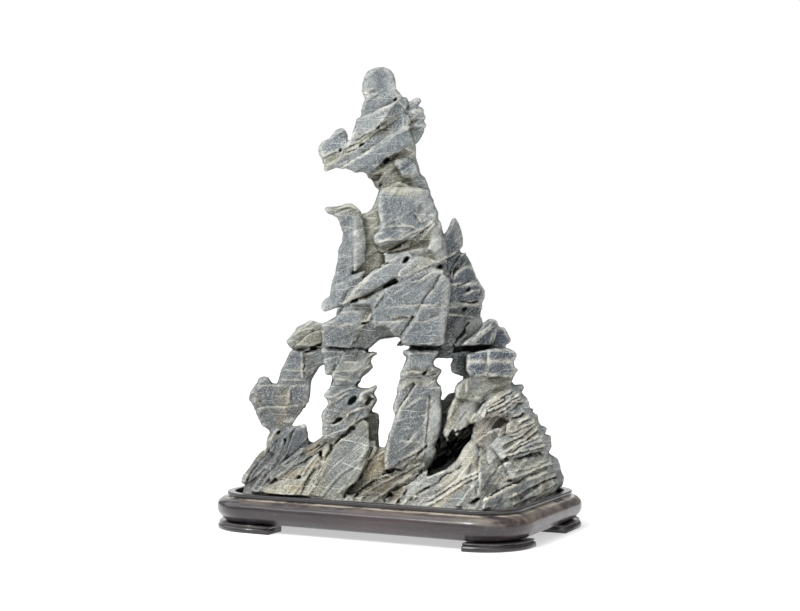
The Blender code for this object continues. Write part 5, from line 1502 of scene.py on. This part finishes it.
def stone_material():
    """Blue-grey grained limestone, cream in its hollows and joints, white-veined, dark in its cracks."""
    stone = MaterialKit("stone_grey_limestone")
    axes = stone.node("SeparateXYZ", {"Vector": stone.place}).outputs
    colour = stone_ground(stone)
    colour = stone_beds(stone, colour, axes)
    colour = stone_grain(stone, colour)
    colour = stone_edges(stone, colour)
    colour = stone_veins(stone, colour, axes)
    colour = stone_cracks(stone, colour)
    contrast = stone.node("Gamma", {"Color": colour, "Gamma": 1.24})
    colour = stone.blend(1.0, contrast.outputs["Color"], (1.40, 1.40, 1.40), "MULTIPLY")
    stone.feed(stone.shader, {"Base Color": colour, "Roughness": 0.82, "Specular IOR Level": 0.3})
    fine = stone.times(stone.noise(900.0, 4.0, 0.7), 0.35)
    stone.rough_up(stone.plus(fine, stone.noise(260.0, 5.0, 0.65)), 0.8, 0.0014)
    return stone.material


CHUNKS = CREST + NECK + SHOULDER + JOINT + PILLARS + FOOT_SLABS + RIGHT_PEAK + REAR
CHUNKS += rear_plates() + FILLINGS
mass = bmesh.new()
for number, chunk in enumerate(CHUNKS):
    add_chunk(mass, chunk, math.sin(2.4 * number))
loft(mass, [(rounded_outline(*RECESS_FILLING), RECESS_FLOOR - 4.0),
            (rounded_outline(*RECESS_FILLING), RIM_TOP - 1.0),
            (rounded_outline(*FILLING_TOP), RIM_TOP + 3.0)])
holder = shown(as_mesh(mass, "rock_chunks"), "rock_chunks")
fuse = holder.modifiers.new("fuse", "REMESH")
fuse.mode = "VOXEL"
fuse.voxel_size = ROCK_VOXEL * MM
fuse.adaptivity = 0.0
skin = finished_mesh(holder)
largest_shell(skin)
sculpt(skin)
full = shown(skin, "rock_full")
# The skin is thinned, but less on the side that faces the camera.
seen = full.vertex_groups.new(name="seen")
for index, weight in enumerate(rise(-0.5, 0.1, normals_of(skin) @ TOWARDS_EYE)):
    seen.add([index], 0.98 * weight, "REPLACE")
thin = full.modifiers.new("thin", "DECIMATE")
thin.vertex_group = "seen"
thin.invert_vertex_group = True
thin.vertex_group_factor = 0.0004
thin.ratio = ROCK_TRIANGLES / (2.0 * len(skin.polygons))
thin.use_collapse_triangulate = True
rock_mesh = finished_mesh(full)
rock_mesh.name = "limestone_rock"
describe_surface(rock_mesh)
rock_mesh.shade_smooth()
rock_mesh.materials.clear()
rock_mesh.materials.append(stone_material())
rock = shown(rock_mesh, "limestone_rock")
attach(rock, "root")
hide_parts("rock")

# ---- The stand ------------------------------------------------------------------------------------------
# A low tray carved from one block of dark hardwood: a bulging belly, a narrow groove and a thin raised lip
# around the recess that the rock sits in. Stained nearly black, waxed, and rubbed tan along its edges.
RIM_HALF_LENGTH = 157.0
RIM_HALF_WIDTH = 101.0
RIM_CORNER = 40.0
GROOVE_HEIGHT = 31.0
CARVING_DEPTH = 0.45
LONG_EDGE = 0.03
LONG_EDGE_CUTS = 24

# The wood's colours, and its marks: name of the value on the vertices, colour, and the noise it fades over.
STAINED = (0.004, 0.003, 0.004)
STAIN_BROWN = (0.020, 0.011, 0.014)
STAIN_CLOUD = (0.056, 0.031, 0.032)
PORE_BLACK = (0.007, 0.006, 0.006)
DUST_SPECK = (0.120, 0.102, 0.098)
WOOD_MARKS = (
    ("inked", (0.010, 0.009, 0.010), 0.20, 0.45),
    ("dust", (0.240, 0.195, 0.150), 0.42, 0.62),
    ("wear", (0.600, 0.540, 0.440), 0.40, 0.58),
)

# The tray's section, from under the belly to the recess: how far outside the rim, and height.
BELLY = [(-3.0, 8.0), (2.5, 9.0), (6.5, 12.5), (9.3, 16.5), (10.1, 21.0), (9.3, 25.5), (6.3, 29.0),
         (2.0, 30.8)]
LIP = [(-0.4, 31.0), (-1.2, 31.2), (-1.4, 31.6), (-1.4, 32.0), (-1.0, 32.5), (-0.3, 32.8), (-0.05, 33.3),
       (0.0, 34.6), (-0.1, 35.3), (-0.5, 35.8), (-1.2, 36.0), (-6.8, 36.0), (-7.5, 35.8), (-7.9, 35.3),
       (-8.0, 34.6), (-8.0, 27.0), (-8.4, 26.2), (-9.2, 26.0)]


def eased(profile, steps):
    """The profile's points joined by a smooth curve, with that many steps between each two."""
    ends = [profile[0]] + list(profile) + [profile[-1]]
    points = []
    for before, start, stop, after in zip(ends, ends[1:], ends[2:], ends[3:]):
        for step in range(steps):
            t = step / steps
            points.append(tuple(
                0.5 * (2 * b + (c - a) * t + (2 * a - 5 * b + 4 * c - d) * t ** 2
                       + (3 * b - a - 3 * c + d) * t ** 3)
                for a, b, c, d in zip(before, start, stop, after)))
    points.append(profile[-1])
    return points


def stand_outline(reach):
    """Plan outline of the tray, that far outside its rim."""
    return rounded_outline(RIM_HALF_LENGTH + reach, RIM_HALF_WIDTH + reach, RIM_CORNER + reach, 20)


def wood_material(name):
    """Dark stained hardwood with long fine grain and pores, a wax sheen, and tan wear where hands rub."""
    wood = MaterialKit(name)
    wood.feed(wood.shader, {"Specular IOR Level": 0.45, "Coat Weight": 0.85, "Coat Roughness": 0.2})
    flecked = (0.4, 1.0, 1.0)
    grain = wood.noise(60.0, 6.0, 0.65, wood.stretched((0.08, 1.0, 1.0)))
    pores = wood.noise(420.0, 3.0, 0.6, wood.stretched((0.05, 1.0, 1.0)))
    cloud = wood.noise(14.0, 3.0, 0.6, wood.stretched(flecked))
    speck = wood.noise(300.0, 4.0, 0.75, wood.stretched(flecked))
    hand_cut = wood.noise(48.0, 3.0, 0.6, wood.stretched((0.45, 1.0, 1.0)))
    colour = wood.blend(wood.ramp(grain, 0.35, 0.68), STAINED, STAIN_BROWN)
    colour = wood.blend(wood.times(wood.ramp(cloud, 0.44, 0.68), 0.75), colour, STAIN_CLOUD)
    colour = wood.blend(wood.times(wood.ramp(pores, 0.56, 0.68), 0.6), colour, PORE_BLACK)
    colour = wood.blend(wood.times(wood.ramp(speck, 0.55, 0.68), 0.25), colour, DUST_SPECK)
    for mark, shade, low, high in WOOD_MARKS:
        rubbed = wood.ramp(wood.noise(70.0, 6.0, 0.7, wood.stretched(flecked)), low, high)
        colour = wood.blend(wood.times(wood.value(mark), rubbed), colour, shade)
    wood.feed(wood.shader, {"Base Color": colour, "Roughness": wood.ramp(grain, 0.3, 0.7, 0.40, 0.58)})
    wood.rough_up(wood.plus(wood.times(speck, 0.6), wood.times(hand_cut, 2.2)), 0.5, 0.0008)
    return wood.material


tray = bmesh.new()
loft(tray, [(stand_outline(reach), height) for reach, height in eased(BELLY, 4) + LIP])
long_edges = [edge for edge in tray.edges if edge.calc_length() > LONG_EDGE]
bmesh.ops.subdivide_edges(tray, edges=long_edges, cuts=LONG_EDGE_CUTS, use_grid_fill=True)
tray_mesh = as_mesh(tray, "wood_tray")
tray_mesh.shade_smooth()
tray_points = places_of(tray_mesh)
tray_height = tray_points[:, 2]
carved = CARVING_DEPTH * lumps(tray_points * [1.0, 1.0, 2.0], 20.0, 51)
carved += CARVING_DEPTH * lumps(tray_points, 60.0, 52)
carved *= rise(9.0, 12.0, tray_height) * rise(GROOVE_HEIGHT, 29.0, tray_height)
tray_points = tray_points - normals_of(tray_mesh) * np.abs(carved)[:, None]
put_places(tray_mesh, tray_points)
tray_height = tray_points[:, 2]
right_end = rise(80.0, 160.0, tray_points[:, 0]) * rise(20.0, 29.0, tray_height)
right_end *= rise(31.4, 30.8, tray_height)
add_values(tray_mesh, "wear", bump_at(tray_height, GROOVE_HEIGHT, 0.34))
add_values(tray_mesh, "dust", np.maximum(0.7 * right_end, 0.4 * bump_at(tray_height, 29.6, 1.3)))
add_values(tray_mesh, "inked", 0.8 * rise(31.2, 31.8, tray_height))
tray_mesh.materials.append(wood_material("wood_dark_hardwood"))
tray_piece = shown(tray_mesh, "wood_tray")
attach(tray_piece, "root")
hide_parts("stand")

# ---- The feet -------------------------------------------------------------------------------------------
# Four low carved feet of the same wood, one wrapping each corner under the belly: a rolled lower edge, a
# fine groove and a thin lip. They are glued under the tray, a hair below it.
FOOT_REACH = 9.3
FOOT_BREADTH = 26.0
FOOT_GROOVE_HEIGHT = 5.9

# The foot's section: how far inside its reach, and height.
FOOT_ROLL = [(1.5, 0.0), (0.3, 0.7), (0.0, 1.8), (0.2, 3.6), (1.2, 5.0)]
FOOT_LIP = [(2.6, 5.3), (2.8, 5.6), (2.6, 5.9), (2.0, 6.1), (1.7, 6.6), (1.9, 7.3), (2.3, 7.6)]


def foot_outline(reach, front_leg, side_leg):
    """Plan outline of the front right foot: a bent strip under the corner, with its two legs that long."""
    points = []
    for edge, order in ((reach, 1), (FOOT_REACH - FOOT_BREADTH, -1)):
        corner = RIM_CORNER + edge
        run = [(RIM_HALF_LENGTH - front_leg, -RIM_HALF_WIDTH - edge)]
        for step in range(17):
            angle = math.radians(-90.0 + 90.0 * step / 16)
            run.append((RIM_HALF_LENGTH - RIM_CORNER + corner * math.cos(angle),
                        -RIM_HALF_WIDTH + RIM_CORNER + corner * math.sin(angle)))
        run.append((RIM_HALF_LENGTH + edge, -RIM_HALF_WIDTH + side_leg))
        points.extend(run[::order])
    return points


foot_section = eased([(FOOT_REACH - inset, height) for inset, height in FOOT_ROLL], 4)
foot_section += [(FOOT_REACH - inset, height) for inset, height in FOOT_LIP]
foot_wood = wood_material("wood_dark_feet")
for side_x, side_y, front_leg, side_leg, node in (
    (1, -1, 41.0, 46.0, "foot_front_right"),
    (-1, -1, 70.0, 46.0, "foot_front_left"),
    (1, 1, 41.0, 74.0, "foot_back_right"),
    (-1, 1, 70.0, 46.0, "foot_back_left"),
):
    foot = bmesh.new()
    loft(foot, [(foot_outline(reach, front_leg, side_leg), height) for reach, height in foot_section])
    bmesh.ops.scale(foot, vec=(side_x, -side_y, 1.0), verts=foot.verts)
    bmesh.ops.recalc_face_normals(foot, faces=foot.faces)
    foot_mesh = as_mesh(foot, "wood_" + node)
    foot_mesh.shade_smooth()
    foot_height = places_of(foot_mesh)[:, 2]
    add_values(foot_mesh, "wear", 0.5 * bump_at(foot_height, FOOT_GROOVE_HEIGHT, 0.35))
    add_values(foot_mesh, "inked", np.full(len(foot_height), 0.55))
    foot_mesh.materials.append(foot_wood)
    foot_piece = shown(foot_mesh, "wood_" + node)
    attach(foot_piece, "root")
    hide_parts(node)

# ---- Floor, light and camera ----------------------------------------------------------------------------
# A plain pale floor that glows a little, so that shadows on it stay light. Soft suns from the front, the
# sides, above and behind, and a long strip whose sheen lies along the belly. A level camera stands off the
# stand's right-hand front corner.
FLOOR_HALF_WIDTH = 6.0
FLOOR_GREY = 0.62
FLOOR_GLOW = 0.5
WORLD_FILL = 0.23

# Each sun: name, the direction it shines from, how wide it is in degrees, and its strength.
SUNS = (
    ("key", (-0.24, -0.76, 0.80), 20.0, 1.75),
    ("left", (-0.95, -0.20, 0.60), 40.0, 0.6),
    ("right", (0.80, -0.80, 0.45), 40.0, 0.6),
    ("top", (-0.10, -0.10, 1.0), 50.0, 1.1),
    ("back", (-0.55, 0.80, 0.40), 50.0, 0.5),
)

sweep = bmesh.new()
bmesh.ops.create_grid(sweep, x_segments=1, y_segments=1, size=FLOOR_HALF_WIDTH)
floor_mesh = as_mesh(sweep, "floor")
paper = MaterialKit("pale_floor")
paper.feed(paper.shader, {"Base Color": (FLOOR_GREY, FLOOR_GREY, FLOOR_GREY), "Roughness": 0.9,
                          "Emission Color": (1.0, 1.0, 1.0), "Emission Strength": FLOOR_GLOW})
floor_mesh.materials.append(paper.material)
floor = shown(floor_mesh, "floor")

world = bpy.data.worlds.new("studio")
world.use_nodes = True
sky = world.node_tree
backdrop = sky.nodes["Background"]
backdrop.inputs["Color"].default_value = (1.0, 1.0, 1.0, 1.0)
ray = sky.nodes.new("ShaderNodeLightPath")
glow = sky.nodes.new("ShaderNodeMapRange")
glow.inputs["To Min"].default_value = WORLD_FILL
glow.inputs["To Max"].default_value = 1.0
sky.links.new(ray.outputs["Is Camera Ray"], glow.inputs["Value"])
sky.links.new(glow.outputs["Result"], backdrop.inputs["Strength"])
bpy.context.scene.world = world
bpy.context.scene.view_settings.view_transform = "Standard"

for name, direction, width, strength in SUNS:
    sun = bpy.data.lights.new(name, "SUN")
    sun.angle = math.radians(width)
    sun.energy = strength
    lamp = shown(sun, name)
    lamp.rotation_euler = Vector(direction).to_track_quat("Z", "Y").to_euler()
strip = bpy.data.lights.new("strip", "AREA")
strip.shape = "RECTANGLE"
strip.size = 4.0
strip.size_y = 0.4
strip.energy = 34.0
strip_lamp = shown(strip, "strip")
strip_lamp.location = (-0.3, -2.15, 2.2)
strip_lamp.rotation_euler = (math.radians(46.0), 0.0, 0.0)

view = bpy.data.cameras.new("camera")
view.sensor_width = 36.0
view.lens = 63.0
camera = shown(view, "camera")
camera.location = (TOWARDS_EYE * EYE_DISTANCE + UP * EYE_HEIGHT) * MM
camera.rotation_euler = (math.radians(90.0), 0.0, SHEET_TURN)
bpy.context.scene.camera = camera

bpy.context.view_layer.update()
